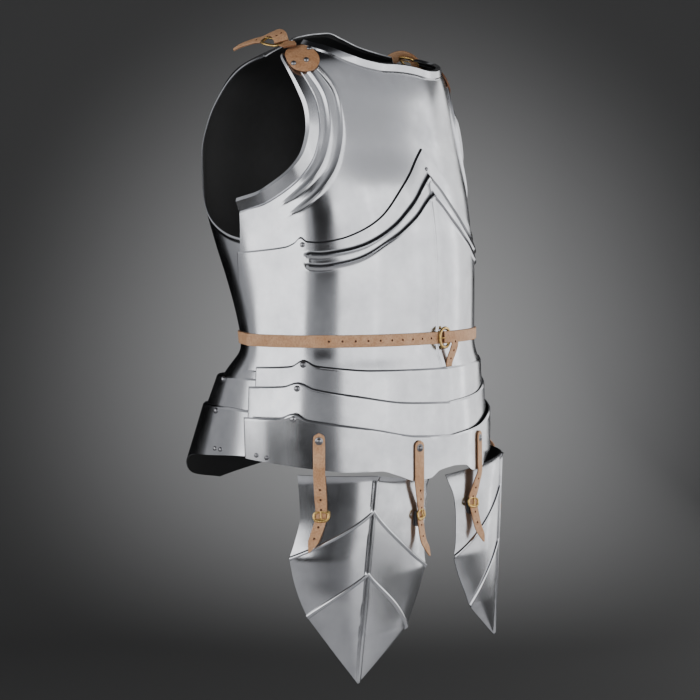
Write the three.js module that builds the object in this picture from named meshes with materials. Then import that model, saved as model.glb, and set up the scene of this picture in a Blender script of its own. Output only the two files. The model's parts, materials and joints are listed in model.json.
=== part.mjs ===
// A steel cuirass of fluted late gothic form: breastplate and plackart, backplate, three hoops of
// fauld in front, two of culet behind, and two tassets hung on straps, with its belt and buckles.
//
// Millimetres, +Z up. The front faces -Y and the wearer's right side is -X. The origin is between
// the shoulders, at the height of the inner ends of the shoulder tabs.
// An angle goes round the body from the front centre (0) over either side (90) to the back (180).

import * as THREE from 'three';

// ---- driving dimensions ----------------------------------------------------------------------

const STEEL = 1.5; // plate thickness
const LEATHER = 2.2; // strap and belt thickness
const REST_GAP = 0.35; // between pieces that rest on each other
const PLATE_GAP = 0.9; // between two plates riveted one over the other
const PLACKART_LIFT = STEEL + PLATE_GAP; // plackart outside the breastplate
const BACK_LIFT = -(STEEL + 2.8); // backplate inside the breastplate, with room at the sides

// Cross sections of the body. Each is an oval of its own half width, depth and squareness in front
// and behind the side line.
const TORSO = [
  // height, front half width, front depth, back half width, back depth, back squareness
  [36, 55, 27, 55, 41, 2.0],
  [19, 85, 49, 90, 82, 2.0],
  [4, 107, 63, 121, 112, 2.1],
  [-8, 134, 71, 142, 131, 2.3],
  [-21, 160, 77.5, 162, 146, 2.5],
  [-41, 168.5, 83.5, 172, 161, 2.7],
  [-62, 172.5, 89, 178, 172, 2.8],
  [-88, 177, 95, 183, 183, 2.9],
  [-137, 183, 107, 187.5, 193, 3.0],
  [-201, 187, 124, 189, 192, 2.85],
  [-255, 188.5, 132, 189, 179.5, 2.55],
  [-307, 189.5, 135, 189.5, 161.5, 2.25],
  [-359, 190.5, 134.5, 190.5, 143, 2.05],
  [-386, 191, 134, 191, 135, 2.0],
  [-397, 191.5, 134.5, 191.5, 134, 2.0],
  [-410, 193.5, 138.5, 193.5, 147, 2.05],
  [-421, 196, 142.5, 196.5, 158, 2.1],
  [-440, 201, 147, 201, 174, 2.15],
];
const FRONT_SQUARENESS = 2.1;

// Arm openings, from the outer corner of the shoulder tab, round the opening, to the side.
const BREAST_ARM = [
  // angle, height
  [88.8, -21.5],
  [83.5, -40],
  [78.5, -66],
  [74.6, -95],
  [73.6, -118],
  [74.6, -143],
  [78, -163],
  [84.5, -181],
  [92, -193],
  [103.5, -201],
];
const BACK_ARM = [
  [103, -16],
  [109, -22],
  [117, -36],
  [125, -65],
  [131, -100],
  [134.5, -138],
  [134.8, -173],
  [131.5, -206],
  [123, -231],
  [109, -249],
  [98, -255],
];

const NECKLINE = [
  // angle, height; it goes on past the front and back centres so that it is level there
  [-15, -23],
  [0, -22.5],
  [15, -23],
  [32, -24.5],
  [46, -22.5],
  [58, -17.2],
  [68, -11],
  [78, -5.2],
  [86, 0],
  [103, 9.7],
  [120, 18],
  [150, 29],
  [180, 33],
  [210, 29],
];
const BREAST_NECK_ANGLE = 86; // inner corner of the breastplate's shoulder tab
const BACK_NECK_ANGLE = 103;
const BREAST_BOTTOM = -300; // hidden under the plackart
const BACK_SKIRT = [-368, -383, -397, -410, -423, -440]; // the waist, and the flange under the culet
const BREAST_SIDE_ANGLE = 104.5;
const BACK_SIDE_ANGLE = 96;

// Boxed edges: a crest that stands proud, an outer facet down to the plate, an inner one to the edge.
const NECK_RIM = { width: 15, crest: 5.5, height: 4.5, edge: 1.5 };
const ARM_RIM = { width: 18, crest: 4.5, height: 9, edge: 6 };
const BACK_RIM = { width: 7, crest: 2.5, height: 2.5, edge: 1.5 };

// Flutes along the arm opening: distance of each crest from the edge, and its height.
const ARM_FLUTES = [
  // distance, half width, height
  [29, 7, 4],
  [46, 8, 4],
];

// Plackart: its pointed top edge and the two ridges under it.
const PLACKART_TOP = [
  // angle, height
  [0, -134],
  [8, -148],
  [16, -166],
  [26, -189],
  [40, -226],
  [50, -243],
  [59, -253],
  [67, -257],
  [71.5, -256],
  [73.8, -251],
  [76.3, -258],
  [80, -263],
  [91, -267],
  [104.5, -270],
];
const PLACKART_SIDE = [
  // height, angle of the rear edge
  [-270, 104.5],
  [-300, 104.5],
  [-330, 101.5],
  [-358, 98],
  [-415, 97],
];
const PLACKART_BOTTOM = -421;
const MEDIAL_RIDGE = { height: 3.2, halfAngle: 7 };

// Hoops. Each lower hoop lies outside the one above it, and turns on a rivet at each side.
const FRONT_HOOPS = [
  {
    name: 'fauld_lame_1',
    top: [[0, -420], [45, -418], [60, -414], [67, -411], [71.5, -404], [76, -412], [91, -415]],
    bottom: [[0, -478], [91, -462]],
    upper: { height: -415, halfWidth: 202, depth: 150.5 },
    lower: { height: -478, halfWidth: 206, depth: 152.5 },
    end: 91,
    pivot: [71.5, -410.5],
  },
  {
    name: 'fauld_lame_2',
    top: [[0, -465], [30, -460], [50, -450], [67, -440], [73, -432], [78, -437], [93, -440]],
    bottom: [[0, -524], [93, -500]],
    upper: { height: -440, halfWidth: 208.5, depth: 154 },
    lower: { height: -524, halfWidth: 212.5, depth: 158.5 },
    end: 93,
    pivot: [73, -440],
  },
  {
    name: 'fauld_lame_3',
    top: [[0, -508], [25, -503], [45, -491], [62, -482], [69, -478], [73, -470], [78, -476], [92, -478]],
    bottom: [
      [0, -548], [10, -551], [17, -560], [25, -561], [34, -552], [42, -545], [52, -545],
      [66, -540], [80, -534], [92, -530],
    ],
    upper: { height: -478, halfWidth: 221, depth: 162 },
    lower: { height: -560, halfWidth: 218, depth: 163.5 },
    end: 92,
    pivot: [73, -477],
  },
];
const REAR_HOOPS = [
  {
    name: 'culet_lame_1',
    top: [[84, -431], [110, -431], [140, -434], [180, -440]],
    bottom: [[84, -482], [130, -490], [180, -504]],
    upper: { height: -431, halfWidth: 199, depth: 168 },
    lower: { height: -508, halfWidth: 204.6, depth: 214 },
    end: 84,
    pivot: [113, -436],
  },
  {
    name: 'culet_lame_2',
    top: [[84, -473], [110, -470], [140, -474], [180, -484]],
    bottom: [
      [84, -528], [100, -531], [115, -536], [128, -541], [140, -551], [150, -566], [163, -588],
      [180, -604],
    ],
    upper: { height: -470, halfWidth: 205.8, depth: 198 },
    lower: { height: -604, halfWidth: 211, depth: 266 },
    end: 84,
    pivot: [113, -477],
  },
];
const FAULD_SQUARENESS = 2;
const CULET_SQUARENESS = 2.25;

// Tassets: a medial ridge, an inboard leaf that faces forward, an outboard leaf that turns round the
// thigh, and two chevron flutes. Widths are from the middle of the body, depths from its axis.
const TASSET = {
  ridge: [[-811, 153.5, 125], [-548, 139.5, 144]],
  inboard: [
    // height, width, depth
    [-811, 153.5, 125], [-785, 117, 131.5], [-752, 71, 139.5], [-732, 60, 140], [-705, 44, 140],
    [-678, 32, 140.5], [-655, 36, 141], [-625, 36, 141], [-598, 32, 141], [-580, 26, 138],
    [-560, 15, 133],
  ],
  outboard: [
    [-811, 153.5, 125], [-775, 171, 104], [-726, 194, 76], [-700, 201, 68], [-675, 205, 62],
    [-652, 208, 59], [-630, 203, 64], [-600, 199, 69], [-548, 201, 67],
  ],
  top: { ridge: -548, inboard: -566, outboard: -547 },
  flutes: [
    { ridge: -592, inboard: -678, outboard: -652 },
    { ridge: -671, inboard: -752, outboard: -726 },
  ],
  tip: -811,
  bulge: 0.08, // of a leaf's width
  fluteHeight: 3.2,
};

const WAIST_BELT = { height: -383, width: 17 };
const TASSET_STRAPS = [
  // place of the rivet round hoop 3, place across the tasset, heights
  { name: 'outer', angle: 64.5, rivet: -504, leaf: 'outboard', across: 0.7, buckle: -597, tip: -640 },
  { name: 'inner', angle: 23.5, rivet: -519, leaf: 'inboard', across: 0.76, buckle: -606, tip: -660 },
];
const STRAP_WIDTH = 15;

const BUCKLE = { bar: 2.6, depth: 2.4 };
const SHOULDER = {
  patchLift: 2.8,
  rivets: [[80.5, -28], [75.5, -21], [81, -9.5]],
  buckle: [135, 46, 12.5],
  path: [
    // place, and width of the strap
    [147, 6, -4, 15], [142, 14, 5, 16], [137, 26, 10, 16], [134, 38, 9, 16], [135, 50, 6, 16],
    [139, 63, 4, 15], [146, 79, -1, 12], [150, 88, -6, 5],
  ],
};
const RIVET = { plain: 3.6, strap: 5, small: 2.6 };
const HEM_RIVETS = [
  // hoop, its squareness, angle and height of each
  [FRONT_HOOPS[2], FAULD_SQUARENESS, [[86.5, -525], [82.5, -527]]],
  [REAR_HOOPS[1], CULET_SQUARENESS, [[108, -526], [111.5, -526]]],
];

const COLOURS = {
  steel: { color: '#b9bcc0', roughness: 0.28, metalness: 1 },
  leather: { color: '#c9a183', roughness: 0.75, metalness: 0 },
  brass: { color: '#b8924f', roughness: 0.35, metalness: 1 },
};

// ---- small tools -----------------------------------------------------------------------------

const radians = THREE.MathUtils.degToRad;
const clamp01 = (x) => Math.min(1, Math.max(0, x));
const mix = (a, b, t) => a + (b - a) * t;
const ease = (t) => clamp01(t) ** 2 * (3 - 2 * clamp01(t));

// Smooth monotone interpolation of one column of a table, whose first column rises or falls.
function along(table, x, column = 1) {
  const falling = table[0][0] > table[table.length - 1][0];
  const rows = falling ? [...table].reverse() : table;
  const last = rows.length - 1;
  if (x <= rows[0][0]) return rows[0][column];
  if (x >= rows[last][0]) return rows[last][column];
  let k = 0;
  while (rows[k + 1][0] < x) k += 1;
  const slope = (i) => (rows[i + 1][column] - rows[i][column]) / (rows[i + 1][0] - rows[i][0]);
  const tangent = (i) => {
    if (i === 0) return slope(0);
    if (i === last) return slope(last - 1);
    const before = slope(i - 1);
    const after = slope(i);
    return before * after <= 0 ? 0 : (2 * before * after) / (before + after);
  };
  const width = rows[k + 1][0] - rows[k][0];
  const t = (x - rows[k][0]) / width;
  const t2 = t * t;
  const t3 = t2 * t;
  return (
    rows[k][column] * (2 * t3 - 3 * t2 + 1) +
    rows[k + 1][column] * (3 * t2 - 2 * t3) +
    tangent(k) * width * (t3 - 2 * t2 + t) +
    tangent(k + 1) * width * (t3 - t2)
  );
}

// Distance from the axis of an oval, at an angle from its front.
function ovalRadius(angle, halfWidth, depth, squareness) {
  const forward = Math.abs(Math.cos(radians(angle))) / depth;
  const sideways = Math.abs(Math.sin(radians(angle))) / halfWidth;
  return (forward ** squareness + sideways ** squareness) ** (-1 / squareness);
}

const polar = (angle, radius, height) =>
  new THREE.Vector3(-radius * Math.sin(radians(angle)), -radius * Math.cos(radians(angle)), height);

function torsoPoint(angle, height) {
  const front = Math.cos(radians(angle)) >= 0;
  const radius = front
    ? ovalRadius(angle, along(TORSO, height, 1), along(TORSO, height, 2), FRONT_SQUARENESS)
    : ovalRadius(angle, along(TORSO, height, 3), along(TORSO, height, 4), along(TORSO, height, 5));
  return polar(angle, radius, height);
}

// A point that stands off a surface along its outward normal.
function raised(surface, angle, height, lift) {
  const step = 0.5;
  const point = surface(angle, height);
  const across = surface(angle + step, height).sub(surface(angle - step, height));
  const up = surface(angle, height + step).sub(surface(angle, height - step));
  return point.addScaledVector(up.cross(across).normalize(), lift);
}

// ---- sheet metal -----------------------------------------------------------------------------

// An open sheet of quads whose patches share their common vertices, made solid by its thickness.
class Sheet {
  constructor() {
    this.points = [];
    this.index = new Map();
    this.faces = [];
  }

  vertex(point) {
    const key = [point.x, point.y, point.z].map((v) => Math.round(v * 200)).join(',');
    if (!this.index.has(key)) {
      this.index.set(key, this.points.length);
      this.points.push(point.clone());
    }
    return this.index.get(key);
  }

  face(...corners) {
    const distinct = corners.filter((c, i) => c !== corners[(i + 1) % corners.length]);
    if (distinct.length < 3) return;
    for (let i = 1; i + 1 < distinct.length; i += 1) {
      this.faces.push([distinct[0], distinct[i], distinct[i + 1]]);
    }
  }

  // Rows of points. The faces are turned away from the body's axis.
  patch(rows) {
    const grid = rows.map((row) => row.map((point) => this.vertex(point)));
    let outward = 0;
    const quads = [];
    for (let i = 0; i + 1 < grid.length; i += 1) {
      for (let j = 0; j + 1 < grid[i].length; j += 1) {
        quads.push([grid[i][j], grid[i][j + 1], grid[i + 1][j + 1], grid[i + 1][j]]);
        const across = rows[i][j + 1].clone().sub(rows[i][j]);
        const down = rows[i + 1][j].clone().sub(rows[i][j]);
        const normal = across.cross(down);
        outward += normal.x * rows[i][j].x + normal.y * rows[i][j].y;
      }
    }
    for (const quad of quads) this.face(...(outward < 0 ? quad.reverse() : quad));
  }

  solid(thickness) {
    const count = this.points.length;
    const normals = this.points.map(() => new THREE.Vector3());
    for (const [a, b, c] of this.faces) {
      const side = this.points[b].clone().sub(this.points[a]);
      const normal = side.cross(this.points[c].clone().sub(this.points[a])).normalize();
      for (const corner of [a, b, c]) normals[corner].add(normal);
    }
    const inner = this.points.map((point, i) =>
      point.clone().addScaledVector(normals[i].normalize(), -thickness),
    );
    const faces = [...this.faces, ...this.faces.map(([a, b, c]) => [a + count, c + count, b + count])];
    const directed = new Set();
    for (const [a, b, c] of this.faces) {
      directed.add(`${a},${b}`).add(`${b},${c}`).add(`${c},${a}`);
    }
    for (const edge of directed) {
      const [a, b] = edge.split(',').map(Number);
      if (!directed.has(`${b},${a}`)) {
        faces.push([a, a + count, b + count], [a, b + count, b]);
      }
    }
    return meshGeometry([...this.points, ...inner], faces);
  }
}

function meshGeometry(points, faces) {
  const geometry = new THREE.BufferGeometry();
  const places = points.flatMap((p) => [p.x, p.y, p.z]);
  geometry.setAttribute('position', new THREE.Float32BufferAttribute(places, 3));
  geometry.setIndex(faces.flat());
  return geometry;
}

const cuirass = new THREE.Group();

function addPiece(name, geometry, colour) {
  const mesh = new THREE.Mesh(geometry, new THREE.MeshStandardMaterial(COLOURS[colour]));
  mesh.name = name;
  cuirass.add(mesh);
  return mesh;
}

const caster = new THREE.Raycaster();
const PROBE = 25; // how far outside a piece the search for its surface starts

// Moves a point along its outward direction to stand a gap off the outermost of some plates, as
// found under the point itself and under each of its offsets.
function rest(point, out, plates, gap, offsets = []) {
  const reach = [new THREE.Vector3(), ...offsets].map((offset) => {
    const start = point.clone().add(offset).addScaledVector(out, PROBE);
    caster.set(start, out.clone().negate());
    const hit = caster.intersectObjects(plates, false)[0];
    return hit ? PROBE - hit.distance : -Infinity;
  });
  const highest = Math.max(...reach);
  return point.clone().addScaledVector(out, Number.isFinite(highest) ? highest + gap : 0);
}

// Offsets square to a direction, on a ring.
function ring(out, radius) {
  const across = new THREE.Vector3(0, 0, 1).cross(out).normalize();
  const other = out.clone().cross(across);
  return [0, 1, 2, 3, 4, 5, 6, 7].map((k) => {
    const turn = (k * Math.PI) / 4;
    const place = across.clone().multiplyScalar(radius * Math.cos(turn));
    return place.addScaledVector(other, radius * Math.sin(turn));
  });
}

// The outward direction of a surface given by angle and height.
const outwardOf = (surface, angle, height) =>
  raised(surface, angle, height, 1).sub(surface(angle, height)).normalize();

// ---- breastplate and backplate ---------------------------------------------------------------

const neckEdge = (angle) => along(NECKLINE, angle);

// Height of the point that lies a distance below a height, down the surface at one angle.
function descend(surface, angle, height, distance) {
  const step = -1;
  let walked = 0;
  let here = surface(angle, height);
  let low = height;
  while (walked < distance) {
    const next = surface(angle, low + step);
    const stride = next.distanceTo(here);
    if (walked + stride >= distance) return low + (step * (distance - walked)) / stride;
    walked += stride;
    low += step;
    here = next;
  }
  return low;
}

// A curve on a surface, through rows of angle and height, measured by its length.
function surfaceCurve(surface, rows) {
  const table = [[0, ...rows[0]]];
  for (let k = 1; k < rows.length; k += 1) {
    const stride = surface(...rows[k]).distanceTo(surface(...rows[k - 1]));
    table.push([table[k - 1][0] + stride, ...rows[k]]);
  }
  const length = table[table.length - 1][0];
  return {
    length,
    at: (distance) => [along(table, distance, 1), along(table, distance, 2)],
  };
}

// The unit step, in angle and height, that leaves a curve at right angles on the surface.
function squareTo(surface, [angle, height], [turn, rise]) {
  const byAngle = surface(angle + 0.5, height).sub(surface(angle - 0.5, height));
  const byHeight = surface(angle, height + 0.5).sub(surface(angle, height - 0.5));
  const tangent = byAngle.clone().multiplyScalar(turn).addScaledVector(byHeight, rise);
  const step = [-byHeight.dot(tangent), byAngle.dot(tangent)];
  const size = byAngle.multiplyScalar(step[0]).addScaledVector(byHeight, step[1]).length();
  return [step[0] / size, step[1] / size];
}

// Where the line of a station meets the bottom of its plate.
const bottomAngle = ({ centre, sideAngle, split }, t) =>
  mix(centre, sideAngle, ((t - split[1]) / (1 - split[1])) ** 0.7);

// Half of a plate with an arm opening: lines that leave the opening square to its edge, and end at
// the neck rim, the middle of the plate or its lower edge.
function halfPlate(plan) {
  const { surface, arm, neckAngle, centre, bottom, rim, flutes, split, fill } = plan;
  const edge = surfaceCurve(surface, arm);
  const neckBase = (angle) => descend(surface, angle, neckEdge(angle), plan.neckRim.width);
  const outer = (t) => {
    if (t <= split[0]) {
      const angle = mix(neckAngle, centre, t / split[0]);
      return [angle, neckBase(angle)];
    }
    if (t <= split[1]) {
      return [centre, mix(neckBase(centre), bottom, (t - split[0]) / (split[1] - split[0]))];
    }
    return [bottomAngle(plan, t), bottom];
  };
  const ray = (t) => {
    const start = edge.at(edge.length * t);
    const finish = outer(t);
    const before = edge.at(edge.length * Math.max(0, t - 0.02));
    const after = edge.at(edge.length * Math.min(1, t + 0.02));
    const square = squareTo(surface, start, [after[0] - before[0], after[1] - before[1]]);
    const reach = surface(...start).distanceTo(surface(...finish)) * plan.lead;
    const side = Math.sign(square[0] * (finish[0] - start[0]) + square[1] * (finish[1] - start[1]));
    const lead = [start[0] + side * square[0] * reach, start[1] + side * square[1] * reach];
    const rows = [];
    for (let k = 0; k <= 16; k += 1) {
      const s = k / 16;
      const weight = [(1 - s) ** 2, 2 * s * (1 - s), s * s];
      rows.push([0, 1].map((c) => weight[0] * start[c] + weight[1] * lead[c] + weight[2] * finish[c]));
    }
    return surfaceCurve(surface, rows);
  };
  const near = [0, rim.crest, rim.width - 1.5, rim.width];
  for (const [distance, halfWidth] of flutes) {
    near.push(distance - halfWidth, distance, distance + halfWidth);
  }
  const nearEnd = near[near.length - 1];
  const lines = [];
  for (const t of plan.stations) {
    const line = ray(t);
    const squeeze = mix(plan.squeeze, 1, ease(t / 0.3));
    const rimRise = mix(plan.rimStart, 1, ease(t / 0.35));
    const rimSwell = rimRise * mix(1, plan.rimEnd, ease((t - 0.75) / 0.25));
    const fluteSwell = ease((t - 0.03) / 0.12) * (1 - ease((t - 0.66) / 0.16));
    const points = [];
    const place = (distance, lift) => {
      const [angle, height] = line.at(distance);
      points.push(raised(surface, angle, height, plan.lift + lift));
    };
    for (const distance of near) {
      place(distance * squeeze, armLift(distance, rim, flutes, rimSwell, fluteSwell));
    }
    for (let k = 1; k <= fill; k += 1) {
      place(mix(nearEnd * squeeze, line.length, (k / fill) ** 1.2), 0);
    }
    lines.push(points);
  }
  return lines;
}

function armLift(distance, rim, flutes, rimSwell, fluteSwell) {
  const profile = [[0, rim.edge], [rim.crest, rim.height], [rim.width - 1.5, 1.5], [rim.width, 0]];
  let lift = distance >= rim.width ? 0 : rimSwell * lineAt(profile, distance, 1);
  for (const [middle, halfWidth, height] of flutes) {
    lift += fluteSwell * height * Math.max(0, 1 - Math.abs(distance - middle) / halfWidth);
  }
  return lift;
}

// The rim of the neck, as rows from its base to its edge.
function neckStrip(plan, angles) {
  const { surface, neckRim } = plan;
  const profile = [
    [neckRim.width, 0],
    [neckRim.width - 1.5, neckRim.height * 0.9],
    [neckRim.crest, neckRim.height],
    [0, neckRim.edge],
  ];
  return profile.map(([distance, lift]) =>
    angles.map((angle) => {
      const height = descend(surface, angle, neckEdge(angle), distance);
      return raised(surface, angle, height, plan.lift + lift);
    }),
  );
}

function bodyPlate(name, plan) {
  const sheet = new Sheet();
  const lines = halfPlate(plan);
  const mirrored = (rows) => rows.map((row) => row.map((p) => new THREE.Vector3(-p.x, p.y, p.z)));
  const neckCount = plan.stations.filter((t) => t <= plan.split[0]).length;
  const angles = plan.stations
    .slice(0, neckCount)
    .map((t) => mix(plan.neckAngle, plan.centre, t / plan.split[0]));
  const strip = neckStrip(plan, angles);
  const feet = plan.stations
    .filter((t) => t >= plan.split[1])
    .map((t) => bottomAngle(plan, t));
  const skirt = plan.skirt.map((height) =>
    feet.map((angle) => raised(plan.surface, angle, height, plan.lift)),
  );
  for (const rows of [lines, strip, skirt]) {
    sheet.patch(rows);
    sheet.patch(mirrored(rows));
  }
  return addPiece(name, sheet.solid(STEEL), 'steel');
}

// Stations along the arm opening, with one at each corner of the far boundary.
function stations(split, counts) {
  const list = [0];
  const marks = [0, split[0], split[1], 1];
  for (let m = 0; m < 3; m += 1) {
    for (let k = 1; k <= counts[m]; k += 1) list.push(mix(marks[m], marks[m + 1], k / counts[m]));
  }
  return list;
}

const BREAST = {
  surface: torsoPoint,
  arm: BREAST_ARM,
  neckAngle: BREAST_NECK_ANGLE,
  centre: 0,
  bottom: BREAST_BOTTOM,
  sideAngle: BREAST_SIDE_ANGLE,
  skirt: [],
  rim: ARM_RIM,
  neckRim: NECK_RIM,
  flutes: ARM_FLUTES,
  split: [0.34, 0.62],
  lead: 0.35,
  squeeze: 0.6,
  rimStart: 0.3,
  rimEnd: 0.55,
  fill: 4,
  lift: 0,
};
BREAST.stations = stations(BREAST.split, [9, 6, 9]);
const breastplate = bodyPlate('breastplate', BREAST);

const BACK = {
  ...BREAST,
  arm: BACK_ARM,
  neckAngle: BACK_NECK_ANGLE,
  centre: 180,
  bottom: BACK_SKIRT[0],
  skirt: BACK_SKIRT,
  sideAngle: BACK_SIDE_ANGLE,
  rim: BACK_RIM,
  neckRim: BACK_RIM,
  flutes: [],
  split: [0.3, 0.7],
  rimStart: 1,
  rimEnd: 1,
  squeeze: 1,
  fill: 6,
  lift: BACK_LIFT,
};
BACK.stations = stations(BACK.split, [7, 7, 6]);
const backplate = bodyPlate('backplate', BACK);

// ---- plackart --------------------------------------------------------------------------------

const PLACKART_DROPS = [
  // angle, drop of the first and second ridge below the top edge
  [0, 38, 62],
  [15, 38, 59],
  [27, 35.5, 52],
  [40, 25, 38],
  [50, 21.5, 36],
  [60, 18, 33],
  [71, 17, 32],
  [105, 17, 32],
];
const RIDGES = { heights: [4.5, 3.5], reach: 8, start: 68, fade: 4 };

function plackartPoint(angle, row) {
  const top = along(PLACKART_TOP, angle);
  const drops = [along(PLACKART_DROPS, angle, 1), along(PLACKART_DROPS, angle, 2)];
  const under = top - drops[1] - RIDGES.reach;
  const heights = [
    top,
    top - drops[0] + RIDGES.reach,
    top - drops[0],
    (top - drops[0] + (top - drops[1])) / 2,
    top - drops[1],
    under,
    mix(under, WAIST_BELT.height, 0.33),
    mix(under, WAIST_BELT.height, 0.66),
    WAIST_BELT.height,
    -399,
    PLACKART_BOTTOM,
  ];
  const height = heights[row];
  const fade = ease((RIDGES.start - angle) / RIDGES.fade);
  const ridge = { 2: RIDGES.heights[0], 3: RIDGES.heights[0] * 0.25, 4: RIDGES.heights[1] }[row] ?? 0;
  const medial = row < 2 ? 0 : MEDIAL_RIDGE.height * Math.max(0, 1 - angle / MEDIAL_RIDGE.halfAngle);
  const rear = PLACKART_TOP[PLACKART_TOP.length - 1][0];
  const cusp = 76.3;
  const end = along(PLACKART_SIDE, height);
  const drawn = angle <= cusp ? angle : mix(cusp, end, (angle - cusp) / (rear - cusp));
  return raised(torsoPoint, drawn, height, PLACKART_LIFT + fade * ridge + medial);
}

function plackartPlate() {
  const angles = [0, 3.5, 7, 12, 18, 25, 33, 42, 50, 57, 63, 68, 71.5, 73.8, 76.3, 82, 89, 96, 104.5];
  const rows = [];
  for (let row = 0; row <= 10; row += 1) rows.push(angles.map((angle) => plackartPoint(angle, row)));
  const sheet = new Sheet();
  sheet.patch(rows);
  sheet.patch(rows.map((line) => line.map((p) => new THREE.Vector3(-p.x, p.y, p.z))));
  return addPiece('plackart', sheet.solid(STEEL), 'steel');
}
const plackart = plackartPlate();

// ---- hoops of the fauld and culet ------------------------------------------------------------

const hoopSurface = ({ upper, lower }, squareness) => (angle, height) => {
  const t = (height - upper.height) / (lower.height - upper.height);
  const halfWidth = mix(upper.halfWidth, lower.halfWidth, t);
  const depth = mix(upper.depth, lower.depth, t);
  return polar(angle, ovalRadius(angle, halfWidth, depth, squareness), height);
};

function hoop(plan, angles, rows, squareness) {
  const surface = hoopSurface(plan, squareness);
  const lines = [];
  for (let row = 0; row <= rows; row += 1) {
    lines.push(
      angles.map((angle) =>
        surface(angle, mix(along(plan.top, angle), along(plan.bottom, angle), row / rows)),
      ),
    );
  }
  const sheet = new Sheet();
  sheet.patch(lines);
  sheet.patch(lines.map((line) => line.map((p) => new THREE.Vector3(-p.x, p.y, p.z))));
  return addPiece(plan.name, sheet.solid(STEEL), 'steel');
}

const hoops = new Map();
for (const plan of FRONT_HOOPS) {
  const angles = [0, 9, 17, 25, 34, 42, 50, 58, 66, 69.5, plan.pivot[0], 75, 79, 86, plan.end];
  hoops.set(plan.name, hoop(plan, angles, 2, FAULD_SQUARENESS));
}
for (const plan of REAR_HOOPS) {
  const angles = [180, 169, 158, 147, 137, 128, 120, 112, 104, 95, plan.end];
  hoops.set(plan.name, hoop(plan, angles, 2, CULET_SQUARENESS));
}

// ---- tassets ---------------------------------------------------------------------------------

// A point of a tasset, from the leaf, the place across it (0 at the ridge, 1 at the edge) and height.
function tassetPoint(leaf, across, height, lift) {
  const ridge = [1, 2].map((c) => lineAt(TASSET.ridge, height, c));
  const edge = [1, 2].map((c) => lineAt(TASSET[leaf], height, c));
  const chord = [edge[0] - ridge[0], edge[1] - ridge[1]];
  const size = Math.hypot(...chord) || 1;
  const turn = (leaf === 'outboard' ? 1 : -1) / size;
  const outward = [-chord[1] * turn, chord[0] * turn];
  const stand = 4 * across * (1 - across) * TASSET.bulge * size + lift;
  return new THREE.Vector3(
    ridge[0] + chord[0] * across + outward[0] * stand,
    -(ridge[1] + chord[1] * across + outward[1] * stand),
    height,
  );
}

function lineAt(rows, x, column) {
  let k = 0;
  while (k + 2 < rows.length && rows[k + 1][0] < x) k += 1;
  return mix(rows[k][column], rows[k + 1][column], (x - rows[k][0]) / (rows[k + 1][0] - rows[k][0]));
}

function tasset(name, side) {
  const rows = [];
  const places = [];
  for (const across of [1, 0.66, 0.33, 0.05]) places.push(['inboard', across]);
  places.push(['outboard', 0]);
  for (const across of [0.05, 0.33, 0.66, 1]) places.push(['outboard', across]);
  const level = (marks) => (leaf, across) => mix(marks.ridge, marks[leaf], across ** 0.8);
  const between = (a, b, t) => (leaf, across) => mix(a(leaf, across), b(leaf, across), t);
  const shifted = (a, by) => (leaf, across) => a(leaf, across) + by;
  const push = (height, lift) => {
    rows.push(
      places.map(([leaf, across]) => {
        const point = tassetPoint(leaf, across, height(leaf, across), lift);
        point.x *= side;
        return point;
      }),
    );
  };
  const top = level(TASSET.top);
  const flutes = TASSET.flutes.map(level);
  const tip = () => TASSET.tip;
  push(top, 2);
  push(shifted(top, -4), 0);
  push(between(top, flutes[0], 0.5), 0);
  for (const [flute, next] of [[flutes[0], flutes[1]], [flutes[1], tip]]) {
    push(shifted(flute, 4), 0);
    push(flute, TASSET.fluteHeight);
    push(shifted(flute, -4), 0);
    push(between(flute, next, 0.5), 0);
  }
  push(tip, 0);
  const sheet = new Sheet();
  sheet.patch(rows);
  return addPiece(name, sheet.solid(STEEL), 'steel');
}
const tassets = { right: tasset('tasset_right', -1), left: tasset('tasset_left', 1) };

// ---- leather ---------------------------------------------------------------------------------

// A flat strap through stations { point, out, width }: a section that widens either way from each
// point, square to the path and to the outward direction.
function strap(path, thickness, closed) {
  const points = [];
  const faces = [];
  path.forEach(({ point, out, width }, i) => {
    const last = path.length - 1;
    const before = path[i > 0 ? i - 1 : closed ? last : 0].point;
    const after = path[i < last ? i + 1 : closed ? 0 : last].point;
    const side = after.clone().sub(before).cross(out).normalize();
    for (const [across, up] of [[-0.5, 0], [0.5, 0], [0.5, 1], [-0.5, 1]]) {
      const place = point.clone().addScaledVector(side, across * width);
      points.push(place.addScaledVector(out, up * thickness));
    }
  });
  const stretches = closed ? path.length : path.length - 1;
  for (let i = 0; i < stretches; i += 1) {
    const a = i * 4;
    const b = ((i + 1) % path.length) * 4;
    for (let c = 0; c < 4; c += 1) {
      const d = (c + 1) % 4;
      faces.push([a + c, b + c, b + d], [a + c, b + d, a + d]);
    }
  }
  if (!closed) {
    const e = (path.length - 1) * 4;
    faces.push([0, 1, 2], [0, 2, 3], [e, e + 2, e + 1], [e, e + 3, e + 2]);
  }
  return meshGeometry(points, faces);
}

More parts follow.
